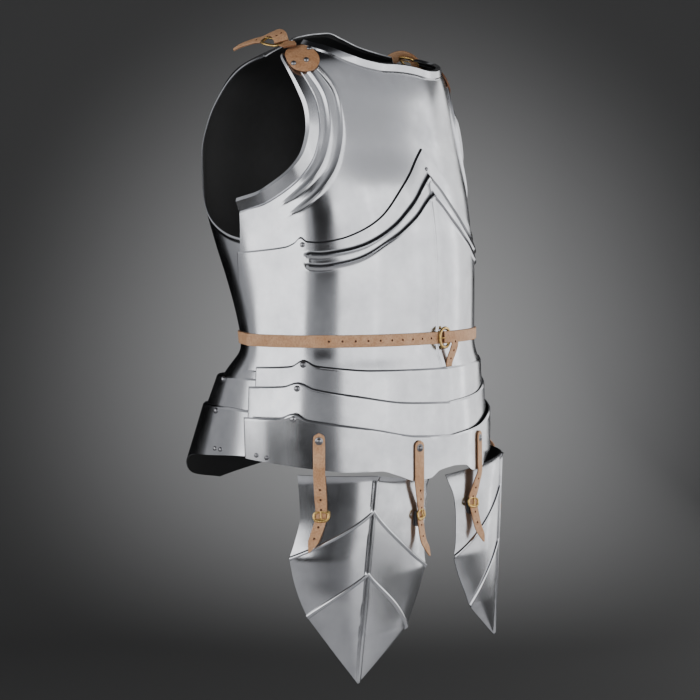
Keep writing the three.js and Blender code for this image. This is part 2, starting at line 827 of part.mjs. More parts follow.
// The belt clears whatever lies under it up to half a stretch either side of each station.
function waistBelt() {
  const path = [];
  const stretch = 6;
  for (let angle = stretch / 2 - 180; angle < 180; angle += stretch) {
    const at = Math.abs(angle);
    const point = torsoPoint(at, WAIST_BELT.height);
    const out = outwardOf(torsoPoint, at, WAIST_BELT.height);
    const offsets = [];
    for (const turn of [-6, -4.5, -3, -1.5, 0, 1.5, 3, 4.5, 6]) {
      for (const rise of [-0.55, -0.25, 0.25, 0.55]) {
        const under = torsoPoint(Math.abs(at + turn), WAIST_BELT.height + rise * WAIST_BELT.width);
        offsets.push(under.sub(point));
      }
    }
    const placed = rest(point, out, [plackart, backplate], REST_GAP + 0.5, offsets);
    for (const vector of [placed, out]) vector.x *= Math.sign(angle);
    path.push({ point: placed, out, width: WAIST_BELT.width });
  }
  addPiece('waist_belt', strap(path, LEATHER, true), 'leather');
}
waistBelt();

// A shoulder patch that lies on the tab, from its rounded tip to the neck of the strap.
function shoulderPatch(name, side) {
  const tip = [71, -25];
  const neck = [88.5, -11];
  const acrossTab = [2.7, 17.4];
  const rows = [];
  for (const [t, width] of [[0, 0.3], [0.12, 0.75], [0.35, 1], [0.6, 0.9], [0.82, 0.5], [1, 0.34]]) {
    const row = [];
    for (const v of [-1, -0.5, 0, 0.5, 1]) {
      const angle = mix(tip[0], neck[0], t) + acrossTab[0] * v * width;
      const height = mix(tip[1], neck[1], t) + acrossTab[1] * v * width;
      const point = torsoPoint(angle, height);
      const out = outwardOf(torsoPoint, angle, height);
      const offsets = [...ring(out, 13), ...ring(out, 8), ...ring(out, 4)];
      const placed = rest(point, out, [breastplate], SHOULDER.patchLift + LEATHER, offsets);
      placed.x *= -side;
      row.push(placed);
    }
    rows.push(row);
  }
  const sheet = new Sheet();
  sheet.patch(rows);
  return addPiece(name, sheet.solid(LEATHER), 'leather');
}

// Turns a piece that is drawn in its own X, Y plane to face outward, with its own Y along up.
function setOn(mesh, point, out, up) {
  const across = up.clone().cross(out).normalize();
  const upward = out.clone().cross(across).normalize();
  const basis = new THREE.Matrix4().makeBasis(across, upward, out.clone().normalize());
  mesh.quaternion.setFromRotationMatrix(basis);
  mesh.position.copy(point);
}

function buckleFrame(width, height, bar) {
  const outline = (w, h, r) => {
    const shape = new THREE.Shape();
    shape.moveTo(-w / 2 + r, -h / 2);
    shape.lineTo(w / 2 - r, -h / 2);
    shape.quadraticCurveTo(w / 2, -h / 2, w / 2, -h / 2 + r);
    shape.lineTo(w / 2, h / 2 - r);
    shape.quadraticCurveTo(w / 2, h / 2, w / 2 - r, h / 2);
    shape.lineTo(-w / 2 + r, h / 2);
    shape.quadraticCurveTo(-w / 2, h / 2, -w / 2, h / 2 - r);
    shape.lineTo(-w / 2, -h / 2 + r);
    shape.quadraticCurveTo(-w / 2, -h / 2, -w / 2 + r, -h / 2);
    return shape;
  };
  const frame = outline(width, height, 4);
  frame.holes.push(outline(width - 2 * bar, height - 2 * bar, 2));
  const plan = { depth: BUCKLE.depth, bevelEnabled: false, curveSegments: 2 };
  return new THREE.ExtrudeGeometry(frame, plan);
}

const patches = {};
function shoulder(side, word) {
  patches[word] = shoulderPatch(`shoulder_patch_${word}`, side);
  const path = SHOULDER.path.map(([x, y, z, width]) => ({
    point: new THREE.Vector3(side * x, y, z),
    out: new THREE.Vector3(side * 0.25, 0, 1).normalize(),
    width,
  }));
  addPiece(`shoulder_strap_${word}`, strap(path, LEATHER, false), 'leather');
  const buckle = addPiece(`shoulder_buckle_${word}`, buckleFrame(21, 18, BUCKLE.bar), 'brass');
  const [x, y, z] = SHOULDER.buckle;
  const outward = new THREE.Vector3(side * 0.25, 0.35, 1);
  setOn(buckle, new THREE.Vector3(side * x, y, z), outward, new THREE.Vector3(0, -1, 0.35));
}
for (const [side, word] of [[-1, 'right'], [1, 'left']]) shoulder(side, word);

// The belt's buckle stands on the belt, a little to the wearer's left of the front centre, and the
// free end hangs from it over the flange.
function waistBuckle() {
  const angle = -2;
  const height = WAIST_BELT.height;
  const at = (h, lift) => {
    const point = raised(torsoPoint, Math.abs(angle), h, PLACKART_LIFT + MEDIAL_RIDGE.height + lift);
    point.x *= -1;
    return point;
  };
  const out = new THREE.Vector3(0.04, -1, 0);
  const buckle = addPiece('waist_buckle', buckleFrame(24, 24, BUCKLE.bar), 'brass');
  setOn(buckle, at(height, LEATHER + 1.3), out, new THREE.Vector3(0, 0, 1));
  const tail = [
    [20, 0, 15],
    [12, -10, 15],
    [10, -24, 15],
    [4, -37, 14],
    [3, -42, 6],
  ].map(([x, drop, width]) => {
    const point = at(height + drop, LEATHER + 4.6);
    point.x = x;
    return { point, out: out.clone().normalize(), width };
  });
  addPiece('waist_belt_tail', strap(tail, LEATHER, false), 'leather');
}
waistBuckle();

// A strap from its rivet on the lowest front hoop, over the hem and down the tasset to its tip.
function tassetStrap(plan, side, word) {
  const hoopPlan = FRONT_HOOPS[2];
  const under = [hoops.get(hoopPlan.name), tassets[word]];
  const onHoop = (height) => {
    const surface = hoopSurface(hoopPlan, FAULD_SQUARENESS);
    return { point: surface(plan.angle, height), out: outwardOf(surface, plan.angle, height) };
  };
  const onTasset = (height) => {
    const at = (across, lift) => tassetPoint(plan.leaf, across, height, lift);
    const point = at(plan.across, 0);
    const across = at(plan.across + 0.05, 0).sub(at(plan.across - 0.05, 0));
    const out = new THREE.Vector3(0, 0, 1).cross(across);
    if (out.dot(at(plan.across, 1).sub(point)) < 0) out.negate();
    out.normalize();
    for (const vector of [point, out]) vector.x *= -1;
    return { point, out };
  };
  const hem = along(hoopPlan.bottom, plan.angle);
  const stations = [
    { ...onHoop(plan.rivet + 8), width: 9 },
    { ...onHoop(plan.rivet + 4), width: STRAP_WIDTH },
    { ...onHoop(hem + 12), width: STRAP_WIDTH },
    { ...onHoop(hem - 4), width: STRAP_WIDTH },
    { ...onTasset(hem - 16), width: STRAP_WIDTH },
    { ...onTasset(hem - 28), width: STRAP_WIDTH },
    { ...onTasset(plan.buckle + 9), width: STRAP_WIDTH },
    { ...onTasset(plan.buckle - 6), width: STRAP_WIDTH },
    { ...onTasset(plan.tip + 9), width: STRAP_WIDTH - 1 },
    { ...onTasset(plan.tip), width: 4 },
  ];
  for (const { point, out } of stations) {
    point.x *= -side;
    out.x *= -side;
  }
  const path = stations.map(({ point, out, width }) => {
    const offsets = [16, 12, 8, 4, -4, -8, -12, -16].flatMap((rise) =>
      [-14, -9, -4.5, 0, 4.5, 9, 14].map((across) =>
        new THREE.Vector3(0, 0, 1).cross(out).normalize().multiplyScalar(across).setZ(rise),
      ),
    );
    return { point: rest(point, out, under, REST_GAP + 0.3, offsets), out, width };
  });
  const leather = addPiece(`tasset_strap_${plan.name}_${word}`, strap(path, LEATHER, false), 'leather');
  const buckle = addPiece(`tasset_buckle_${plan.name}_${word}`, buckleFrame(22, 18, BUCKLE.bar), 'brass');
  const seat = onTasset(plan.buckle);
  for (const vector of [seat.point, seat.out]) vector.x *= -side;
  const face = rest(seat.point, seat.out, [leather, ...under], REST_GAP, ring(seat.out, 10));
  setOn(buckle, face, seat.out, new THREE.Vector3(0, 0, 1));
  return leather;
}

// ---- rivets ----------------------------------------------------------------------------------

function rivet(name, point, out, radius) {
  const high = radius * 0.6;
  const profile = [[0, 0], [radius, 0], [radius * 0.75, high * 0.7], [0, high]];
  const points = profile.map(([r, h]) => new THREE.Vector2(r, h));
  const head = addPiece(name, new THREE.LatheGeometry(points, 6), 'steel');
  head.quaternion.setFromUnitVectors(new THREE.Vector3(0, 1, 0), out.clone().normalize());
  head.position.copy(point).addScaledVector(out.clone().normalize(), REST_GAP);
}

// A rivet head that stands on some pieces, at an angle and height of a surface.
function rivetOn(name, surface, angle, height, under, radius) {
  const side = Math.sign(angle) || 1;
  const base = surface(Math.abs(angle), height);
  const out = outwardOf(surface, Math.abs(angle), height);
  base.x *= side;
  out.x *= side;
  rivet(name, rest(base, out, under, 0.2, ring(out, radius)), out, radius);
}

rivetOn('plackart_rivet_centre', torsoPoint, 0, -162, [plackart], RIVET.plain);
for (const [side, word] of [[-1, 'left'], [1, 'right']]) {
  rivetOn(`plackart_rivet_${word}`, torsoPoint, side * 73, -261, [plackart], RIVET.plain);
  SHOULDER.rivets.forEach(([angle, height], i) => {
    const name = `shoulder_rivet_${word}_${i + 1}`;
    rivetOn(name, torsoPoint, side * angle, height, [patches[word]], RIVET.plain);
  });
  for (const hoopPlan of [...FRONT_HOOPS, ...REAR_HOOPS]) {
    const squareness = FRONT_HOOPS.includes(hoopPlan) ? FAULD_SQUARENESS : CULET_SQUARENESS;
    const surface = hoopSurface(hoopPlan, squareness);
    const [angle, height] = hoopPlan.pivot;
    const under = [hoops.get(hoopPlan.name)];
    rivetOn(`${hoopPlan.name}_rivet_${word}`, surface, side * angle, height, under, RIVET.plain);
  }
  for (const [hoopPlan, squareness, marks] of HEM_RIVETS) {
    const surface = hoopSurface(hoopPlan, squareness);
    const under = [hoops.get(hoopPlan.name)];
    marks.forEach(([angle, height], i) => {
      const name = `${hoopPlan.name}_hem_rivet_${word}_${i + 1}`;
      rivetOn(name, surface, side * angle, height, under, RIVET.small);
    });
  }
  for (const plan of TASSET_STRAPS) {
    const leather = tassetStrap(plan, -side, word);
    const surface = hoopSurface(FRONT_HOOPS[2], FAULD_SQUARENESS);
    const name = `strap_rivet_${plan.name}_${word}`;
    rivetOn(name, surface, side * plan.angle, plan.rivet, [leather], RIVET.strap);
  }
}

export default cuirass;
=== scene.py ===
# A fluted steel cuirass of late gothic form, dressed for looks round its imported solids.
#
# Lengths are millimetres until a mesh is made, and +Z is up. The front faces -Y and the wearer's
# right side is -X. An angle goes round the body from the front centre (0) over either side (90) to
# the back (180).

import json
import math

import bmesh
import bpy
import numpy as np
from mathutils import Matrix, Vector
from mathutils.bvhtree import BVHTree


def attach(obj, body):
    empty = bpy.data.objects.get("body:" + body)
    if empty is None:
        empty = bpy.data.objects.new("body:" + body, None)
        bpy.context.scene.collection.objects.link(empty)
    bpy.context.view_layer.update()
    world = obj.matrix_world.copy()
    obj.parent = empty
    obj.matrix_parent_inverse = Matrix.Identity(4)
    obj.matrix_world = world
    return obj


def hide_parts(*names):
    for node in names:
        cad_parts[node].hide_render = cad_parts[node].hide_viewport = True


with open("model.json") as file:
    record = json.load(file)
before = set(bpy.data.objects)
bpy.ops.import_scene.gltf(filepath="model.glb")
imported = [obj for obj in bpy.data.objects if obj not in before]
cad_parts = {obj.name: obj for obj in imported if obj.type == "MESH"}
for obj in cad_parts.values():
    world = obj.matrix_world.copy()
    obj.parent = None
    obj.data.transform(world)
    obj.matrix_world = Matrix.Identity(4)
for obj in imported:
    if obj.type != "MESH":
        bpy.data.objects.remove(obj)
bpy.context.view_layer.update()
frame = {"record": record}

MM = 0.001
STEEL = 1.5
LEATHER = 2.2
REST_GAP = 0.35
# the backplate lies inside the front plates at the sides, and the plackart over the breastplate
BACK_LIFT = -(STEEL + 2.8)
PLACKART_LIFT = STEEL + 0.9

# ---- the body's own measures -----------------------------------------------------------------

TORSO = np.array([
    # height, front half width, front depth, back half width, back depth, back squareness
    [36, 55, 27, 55, 41, 2.0],
    [19, 85, 49, 90, 82, 2.0],
    [4, 107, 63, 121, 112, 2.1],
    [-8, 134, 71, 142, 131, 2.3],
    [-21, 160, 77.5, 162, 146, 2.5],
    [-41, 168.5, 83.5, 172, 161, 2.7],
    [-62, 172.5, 89, 178, 172, 2.8],
    [-88, 177, 95, 183, 183, 2.9],
    [-137, 183, 107, 187.5, 193, 3.0],
    [-201, 187, 124, 189, 192, 2.85],
    [-255, 188.5, 132, 189, 179.5, 2.55],
    [-307, 189.5, 135, 189.5, 161.5, 2.25],
    [-359, 190.5, 134.5, 190.5, 143, 2.05],
    [-386, 191, 134, 191, 135, 2.0],
    [-397, 191.5, 134.5, 191.5, 134, 2.0],
    [-410, 193.5, 138.5, 193.5, 147, 2.05],
    [-421, 196, 142.5, 196.5, 158, 2.1],
    [-440, 201, 147, 201, 174, 2.15],
])
FRONT_SQUARENESS = 2.1
BREAST_ARM = [
    # angle and height, round the arm opening
    [88.8, -21.5], [83.5, -40], [78.5, -66], [74.6, -95], [73.6, -118], [74.6, -143], [78, -163],
    [84.5, -181], [92, -193], [103.5, -201],
]
BACK_ARM = [
    [103, -16], [109, -22], [117, -36], [125, -65], [131, -100], [134.5, -138], [134.8, -173],
    [131.5, -206], [123, -231], [109, -249], [98, -255],
]
NECKLINE = [
    # angle and height, carried past the front and back centres so that it is level there
    [-15, -23], [0, -22.5], [15, -23], [32, -24.5], [46, -22.5], [58, -17.2], [68, -11], [78, -5.2],
    [86, 0], [103, 9.7], [120, 18], [150, 29], [180, 33], [210, 29],
]

PLACKART_TOP = [
    # angle and height of the edge
    [0, -134], [8, -148], [16, -166], [26, -189], [40, -226], [50, -243], [59, -253], [67, -257],
    [71.5, -256], [73.8, -251], [76.3, -258], [80, -263], [91, -267], [104.5, -270],
]
PLACKART_SIDE = [[-270, 104.5], [-300, 104.5], [-330, 101.5], [-358, 98], [-415, 97]]
PLACKART_DROPS = [
    # angle, drop of the first and second ridge below the top edge
    [0, 38, 62], [15, 38, 59], [27, 35.5, 52], [40, 25, 38], [50, 21.5, 36], [60, 18, 33],
    [71, 17, 32], [105, 17, 32],
]
PLACKART_BOTTOM = -421
BELT_HEIGHT, BELT_WIDTH = -382, 15.6

# Hoops of the skirt: edges as angle and height, and two levels as height, half width and depth. The
# pivot is the angle and height of the rivet that the hoop turns on.
FAULD = [
    {
        "name": "fauld_lame_1",
        "top": [[0, -420], [45, -418], [60, -414], [67, -411], [71.5, -404], [76, -412], [91, -415]],
        "bottom": [[0, -478], [91, -462]],
        "upper": (-415, 202, 150.5), "lower": (-478, 206, 152.5), "end": 91, "pivot": (71.5, -410.5),
    },
    {
        "name": "fauld_lame_2",
        "top": [[0, -465], [30, -460], [50, -450], [67, -440], [73, -432], [78, -437], [93, -440]],
        "bottom": [[0, -524], [93, -500]],
        "upper": (-440, 208.5, 154), "lower": (-524, 212.5, 158.5), "end": 93, "pivot": (73, -440),
    },
    {
        "name": "fauld_lame_3",
        "top": [
            [0, -508], [25, -503], [45, -491], [62, -482], [69, -478], [73, -470], [78, -476], [92, -478],
        ],
        "bottom": [
            [0, -548], [10, -551], [17, -560], [25, -561], [34, -552], [42, -545], [52, -545],
            [66, -540], [80, -534], [92, -530],
        ],
        "upper": (-478, 221, 162), "lower": (-560, 218, 163.5), "end": 92, "pivot": (73, -477),
    },
]
CULET = [
    {
        "name": "culet_lame_1",
        "top": [[84, -431], [110, -431], [140, -434], [180, -440]],
        "bottom": [[84, -482], [130, -490], [180, -504]],
        "upper": (-431, 199, 168), "lower": (-508, 204.6, 214), "end": 84, "pivot": (113, -436),
    },
    {
        "name": "culet_lame_2",
        "top": [[84, -473], [110, -470], [140, -474], [180, -484]],
        "bottom": [
            [84, -528], [100, -531], [115, -536], [128, -541], [140, -551], [150, -566], [163, -588],
            [180, -604],
        ],
        "upper": (-470, 205.8, 198), "lower": (-604, 211, 266), "end": 84, "pivot": (113, -477),
    },
]
FAULD_SQUARENESS = 2.0
CULET_SQUARENESS = 2.25

TASSET_RIDGE = [[-811, 153.5, 125], [-548, 139.5, 144]]
TASSET_EDGE = {
    # height, distance from the middle of the body, depth from its axis
    "inboard": [
        [-811, 153.5, 125], [-785, 117, 131.5], [-752, 71, 139.5], [-732, 60, 140], [-705, 44, 140],
        [-678, 32, 140.5], [-655, 36, 141], [-625, 36, 141], [-598, 32, 141], [-580, 26, 138],
        [-560, 15, 133],
    ],
    "outboard": [
        [-811, 153.5, 125], [-775, 171, 104], [-726, 194, 76], [-700, 201, 68], [-675, 205, 62],
        [-652, 208, 59], [-630, 203, 64], [-600, 199, 69], [-548, 201, 67],
    ],
}
TASSET_CUSPS = {"inboard": [-752, -678], "outboard": [-726, -652]}
TASSET_TOP = {"ridge": -548, "inboard": -566, "outboard": -547}
TASSET_FLUTES = [
    {"ridge": -592, "inboard": -678, "outboard": -652},
    {"ridge": -671, "inboard": -752, "outboard": -726},
]
TASSET_TIP = -811
TASSET_BULGE = 0.08

TASSET_STRAPS = [
    # angle of the rivet on the hoop, its height, leaf, place across it, buckle, tip, lean of the tail
    ("outer", 64.5, -504, "outboard", 0.7, -597, -640, -6),
    ("inner", 23.5, -519, "inboard", 0.76, -606, -660, 10),
]
STRAP_WIDTH = 15

# ---- numbers ---------------------------------------------------------------------------------


def monotone(rows, x, column=1):
    """Smooth interpolation of a table's column that never overshoots."""
    rows = np.asarray(rows, dtype=float)
    if rows[0, 0] > rows[-1, 0]:
        rows = rows[::-1]
    knots, values = rows[:, 0], rows[:, column]
    x = np.clip(np.asarray(x, dtype=float), knots[0], knots[-1])
    slopes = np.diff(values) / np.diff(knots)
    before, after = slopes[:-1], slopes[1:]
    same = before * after > 0
    middle = np.where(same, 2 * before * after / np.where(same, before + after, 1), 0)
    tangents = np.concatenate([slopes[:1], middle, slopes[-1:]])
    k = np.clip(np.searchsorted(knots, x, side="right") - 1, 0, len(knots) - 2)
    width = knots[k + 1] - knots[k]
    t = (x - knots[k]) / width
    return (
        values[k] * (2 * t**3 - 3 * t**2 + 1)
        + values[k + 1] * (3 * t**2 - 2 * t**3)
        + tangents[k] * width * (t**3 - 2 * t**2 + t)
        + tangents[k + 1] * width * (t**3 - t**2)
    )


def ease(t):
    t = np.clip(t, 0, 1)
    return t * t * (3 - 2 * t)


def mix(a, b, t):
    return a + (b - a) * t


def softened(values, spread):
    """Values at even steps, blurred so that polished plate shows no kinks."""
    reach = int(spread * 3)
    weights = np.exp(-0.5 * (np.arange(-reach, reach + 1) / spread) ** 2)
    padded = np.pad(values, reach, mode="reflect", reflect_type="odd")
    return np.convolve(padded, weights / weights.sum(), mode="valid")


HEIGHTS = np.arange(-470.0, 61.0, 1.0)
BODY_SPREAD = 5
COLUMNS = [softened(monotone(TORSO, HEIGHTS, c), BODY_SPREAD) for c in range(1, 6)]


def polar(angle, radius, height):
    """The point at an angle from the front, positive towards the wearer's right."""
    a = np.radians(angle)
    radius, height, a = np.broadcast_arrays(radius, height, a)
    return np.stack([-radius * np.sin(a), -radius * np.cos(a), height], axis=-1)


def oval(angle, half_width, depth, squareness):
    """Radius of a superellipse: a squareness of 2 makes an ellipse, and more a squarer oval."""
    a = np.radians(angle)
    forward = np.abs(np.cos(a)) / depth
    sideways = np.abs(np.sin(a)) / half_width
    return (forward**squareness + sideways**squareness) ** (-1 / squareness)


def torso(angle, height):
    """The surface that the plates are raised on."""
    front_half, front_depth, back_half, back_depth, square = [
        np.interp(height, HEIGHTS, column) for column in COLUMNS
    ]
    in_front = np.cos(np.radians(angle)) >= 0
    back_half = mix(front_half, back_half, ease((np.abs(angle) - 90) / 10))
    return polar(
        angle,
        oval(
            angle,
            np.where(in_front, front_half, back_half),
            np.where(in_front, front_depth, back_depth),
            np.where(in_front, FRONT_SQUARENESS, square),
        ),
        height,
    )


def unit(v):
    return v / np.maximum(np.linalg.norm(v, axis=-1, keepdims=True), 1e-9)


def outward(surface, angle, height, step=0.6):
    """The way out of a surface, square to it."""
    across = surface(angle + step, height) - surface(angle - step, height)
    up = surface(angle, height + step) - surface(angle, height - step)
    return unit(np.cross(up, across))


def lifted(surface, angle, height, lift):
    angle, height, lift = np.broadcast_arrays(angle, height, lift)
    return surface(angle, height) + outward(surface, angle, height) * lift[..., None]


# ---- meshes ----------------------------------------------------------------------------------

BODY_OF = {node: body for body, nodes in frame["record"]["behaviour"]["bodies"].items() for node in nodes}


def grid_faces(rows, columns, first=0, closed=False):
    """Quads of a grid of vertices, stored row by row."""
    faces = []
    for i in range(rows - 1):
        for j in range(columns if closed else columns - 1):
            a, b = first + i * columns + j, first + i * columns + (j + 1) % columns
            faces.append((a, b, b + columns, a + columns))
    return faces


def prism_faces(count, first=0):
    """Faces of a closed prism: a ring of vertices, and the same ring again at its other end."""
    faces = [
        (first + k, first + (k + 1) % count, first + count + (k + 1) % count, first + count + k)
        for k in range(count)
    ]
    faces.append(tuple(first + k for k in range(count))[::-1])
    faces.append(tuple(first + count + k for k in range(count)))
    return faces


def mesh_object(name, points, faces):
    mesh = bpy.data.meshes.new(name)
    mesh.from_pydata([tuple(p) for p in np.asarray(points) * MM], [], faces)
    made = bpy.data.objects.new(name, mesh)
    bpy.context.scene.collection.objects.link(made)
    return made


def apply_modifiers(piece):
    graph = bpy.context.evaluated_depsgraph_get()
    mesh = bpy.data.meshes.new_from_object(piece.evaluated_get(graph))
    piece.modifiers.clear()
    old = piece.data
    piece.data = mesh
    bpy.data.meshes.remove(old)


def shade(piece, crease=30):
    piece.data.shade_smooth()
    piece.data.set_sharp_from_angle(angle=math.radians(crease))


def dress(piece, slot, *nodes):
    """Puts a finished piece in the place of its solids, on their body."""
    body = BODY_OF[nodes[0]]
    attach(piece, body)
    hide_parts(*nodes)


def plate(name, patches, node, mirrored=True, away_from=(0, 0), crease=24):
    """Sheet steel from patches of outer surface: polished outside, near-black inside."""
    points, faces = [], []
    for rows in patches:
        for sign in (1, -1) if mirrored else (1,):
            patch = rows * np.array([sign, 1, 1])
            normal = np.cross(patch[:-1, 1:] - patch[:-1, :-1], patch[1:, :-1] - patch[:-1, :-1])
            side = patch[:-1, :-1, :2] - np.array([away_from[0] * sign, away_from[1]])
            quads = grid_faces(patch.shape[0], patch.shape[1], first=len(points))
            if np.sum(normal[..., :2] * side) < 0:
                quads = [q[::-1] for q in quads]
            faces += quads
            points += list(patch.reshape(-1, 3))
    made = mesh_object(name, points, faces)
    work = bmesh.new()
    work.from_mesh(made.data)
    bmesh.ops.remove_doubles(work, verts=work.verts, dist=0.04 * MM)
    bmesh.ops.dissolve_degenerate(work, edges=work.edges, dist=0.01 * MM)
    work.to_mesh(made.data)
    work.free()
    for material in (polished_steel, dark_inside_finish, sheared_edge):
        made.data.materials.append(material)
    wall = made.modifiers.new("wall", "SOLIDIFY")
    wall.thickness = STEEL * MM
    wall.offset = -1
    wall.material_offset = 1
    wall.material_offset_rim = 2
    apply_modifiers(made)
    shade(made, crease)
    dress(made, "plate_steel", node)
    return made


# ---- finishes --------------------------------------------------------------------------------


def linear(colour):
    """Linear colour from sRGB hex digits."""
    channels = [int(colour[i : i + 2], 16) / 255 for i in (1, 3, 5)]
    return [c / 12.92 if c <= 0.04045 else ((c + 0.055) / 1.055) ** 2.4 for c in channels] + [1.0]


def add_node(tree, kind, settings=None, **links):
    """Adds a node: settings are its properties, links its inputs, as values or other sockets. An
    input is given by name, or as n and its number where names repeat."""
    made = tree.nodes.new(kind)
    for key, value in (settings or {}).items():
        setattr(made, key, value)
    for key, value in links.items():
        numbered = key[0] == "n" and key[1:].isdigit()
        socket = made.inputs[int(key[1:]) if numbered else key.replace("_", " ")]
        if isinstance(value, bpy.types.NodeSocket):
            tree.links.new(value, socket)
        else:
            socket.default_value = value
    return made


def new_finish(name):
    finish = bpy.data.materials.new(name)
    finish.use_nodes = True
    finish.node_tree.nodes.clear()
    return finish, finish.node_tree


def ramp(tree, factor, stops, interpolation="LINEAR"):
    made = add_node(tree, "ShaderNodeValToRGB", None, Fac=factor)
    made.color_ramp.interpolation = interpolation
    while len(made.color_ramp.elements) < len(stops):
        made.color_ramp.elements.new(0.5)
    for element, (place, colour) in zip(made.color_ramp.elements, stops):
        element.position = place
        element.color = linear(colour)
    return made.outputs["Color"]


def map_range(tree, value, low, high):
    made = add_node(tree, "ShaderNodeMapRange", None, Value=value, n1=0.3, n2=0.7, n3=low, n4=high)
    return made.outputs["Result"]


def finish_shader(tree, **inputs):
    surface = add_node(tree, "ShaderNodeBsdfPrincipled", None, **inputs)
    add_node(tree, "ShaderNodeOutputMaterial", None, Surface=surface.outputs["BSDF"])


def satin_steel(name, light, dark, rough_low, rough_high, waviness):
    """Mild steel, ground and polished to a satin by hand: soft reflections, faint cross brushing
    and the slow waves that the hammer leaves in hand-raised plate."""
    finish, tree = new_finish(name)
    place = add_node(tree, "ShaderNodeTexCoord").outputs["Object"]
    # clouds of wear and handling, 45 mm across
    clouds = add_node(
        tree, "ShaderNodeTexNoise", None, Vector=place, Scale=1 / 0.045, Detail=4.0, Roughness=0.55,
    )
    # brushing: streaks about 0.8 mm apart and 40 mm long, drawn coarser than the 0.1 mm of the grit
    stretched = add_node(tree, "ShaderNodeMapping", None, Vector=place, Scale=(1.0, 1.0, 0.12))
    streaks = add_node(
        tree, "ShaderNodeTexNoise", None,
        Vector=stretched.outputs["Vector"], Scale=1 / 0.0016, Detail=3.0, Roughness=0.7,
    )
    colour = ramp(tree, clouds.outputs["Fac"], [(0.3, dark), (0.7, light)])
    rough = map_range(tree, clouds.outputs["Fac"], rough_high, rough_low)
    fine = add_node(
        tree, "ShaderNodeMath", {"operation": "MULTIPLY_ADD"},
        n0=streaks.outputs["Fac"], n1=0.05, n2=rough,
    )
    brushed = add_node(
        tree, "ShaderNodeBump", None, Height=streaks.outputs["Fac"], Strength=0.02, Distance=0.0001,
    )
    # hammer waves, 90 mm from crest to crest
    waves = add_node(tree, "ShaderNodeTexNoise", None, Vector=place, Scale=1 / 0.09, Detail=0.0)
    wavy = add_node(
        tree, "ShaderNodeBump", None,
        Height=waves.outputs["Fac"], Strength=waviness, Distance=0.0012, Normal=brushed.outputs["Normal"],
    )
    finish_shader(
        tree, Base_Color=colour, Metallic=1.0, Roughness=fine.outputs["Value"],
        Normal=wavy.outputs["Normal"],
    )
    return finish


def near_black_inside():
    """Dull near-black on the inside faces of the plates, faintly mottled and bumped."""
    finish, tree = new_finish("dark_inside_finish")
    place = add_node(tree, "ShaderNodeTexCoord").outputs["Object"]
    mottle = add_node(tree, "ShaderNodeTexNoise", None, Vector=place, Scale=1 / 0.012, Detail=5.0)
    colour = ramp(tree, mottle.outputs["Fac"], [(0.3, "#060607"), (0.75, "#101113")])
    bump = add_node(
        tree, "ShaderNodeBump", None, Height=mottle.outputs["Fac"], Strength=0.15, Distance=0.0006,
    )
    finish_shader(
        tree, Base_Color=colour, Roughness=0.62, Normal=bump.outputs["Normal"], Specular_IOR_Level=0.25,
    )
    return finish


def vegetable_leather(name, light, dark, rough):
    """Undyed vegetable-tanned cowhide: matt grain with pores, darker where it is handled."""
    finish, tree = new_finish(name)
    place = add_node(tree, "ShaderNodeTexCoord").outputs["Object"]
    blotches = add_node(
        tree, "ShaderNodeTexNoise", None, Vector=place, Scale=1 / 0.022, Detail=5.0, Roughness=0.6,
    )
    pores = add_node(tree, "ShaderNodeTexVoronoi", None, Vector=place, Scale=1 / 0.0014)
    fibre = add_node(tree, "ShaderNodeTexNoise", None, Vector=place, Scale=1 / 0.0022, Detail=4.0)
    colour = ramp(tree, blotches.outputs["Fac"], [(0.28, dark), (0.72, light)])
    speck = ramp(tree, fibre.outputs["Fac"], [(0.3, "#d8c8bd"), (0.6, "#ffffff")])
    tinted = add_node(
        tree, "ShaderNodeMix", {"data_type": "RGBA", "blend_type": "MULTIPLY"},
        n0=0.8, n6=colour, n7=speck,
    )
    grain = add_node(
        tree, "ShaderNodeBump", None, Height=pores.outputs["Distance"], Strength=0.35, Distance=0.0003,
    )
    crumple = add_node(
        tree, "ShaderNodeBump", None,
        Height=blotches.outputs["Fac"], Strength=0.3, Distance=0.001, Normal=grain.outputs["Normal"],
    )
    finish_shader(
        tree, Base_Color=tinted.outputs["Result"], Roughness=rough, Normal=crumple.outputs["Normal"],
        Specular_IOR_Level=0.35,
    )
    return finish


def cast_brass():
    """Cast brass, tumbled: warm, slightly uneven, brighter where it rubs."""
    finish, tree = new_finish("cast_brass")
    place = add_node(tree, "ShaderNodeTexCoord").outputs["Object"]
    tarnish = add_node(tree, "ShaderNodeTexNoise", None, Vector=place, Scale=1 / 0.004, Detail=4.0)
    colour = ramp(tree, tarnish.outputs["Fac"], [(0.3, "#9a7a45"), (0.7, "#d8b878")])
    rough = map_range(tree, tarnish.outputs["Fac"], 0.4, 0.24)
    bump = add_node(
        tree, "ShaderNodeBump", None, Height=tarnish.outputs["Fac"], Strength=0.2, Distance=0.0003,
    )
    finish_shader(tree, Base_Color=colour, Metallic=1.0, Roughness=rough, Normal=bump.outputs["Normal"])
    return finish


polished_steel = satin_steel("satin_polished_steel", "#cdced1", "#b6b7bb", 0.13, 0.21, 0.22)
rivet_steel = satin_steel("burnished_rivet_steel", "#9c9c9f", "#66666a", 0.22, 0.34, 0.0)
sheared_edge = satin_steel("filed_plate_edge", "#a2a3a6", "#6c6d70", 0.3, 0.42, 0.0)
dark_inside_finish = near_black_inside()
strap_leather = vegetable_leather("vegetable_tanned_strap", "#d2a985", "#b48862", 0.62)
patch_leather = vegetable_leather("browned_patch_leather", "#c79c78", "#a3764f", 0.55)
cut_edge = vegetable_leather("burnished_leather_edge", "#8a5f42", "#5d3b27", 0.5)
buckle_brass = cast_brass()

# ---- breastplate and backplate ---------------------------------------------------------------


def neck_edge(angle):
    return monotone(NECKLINE, angle)


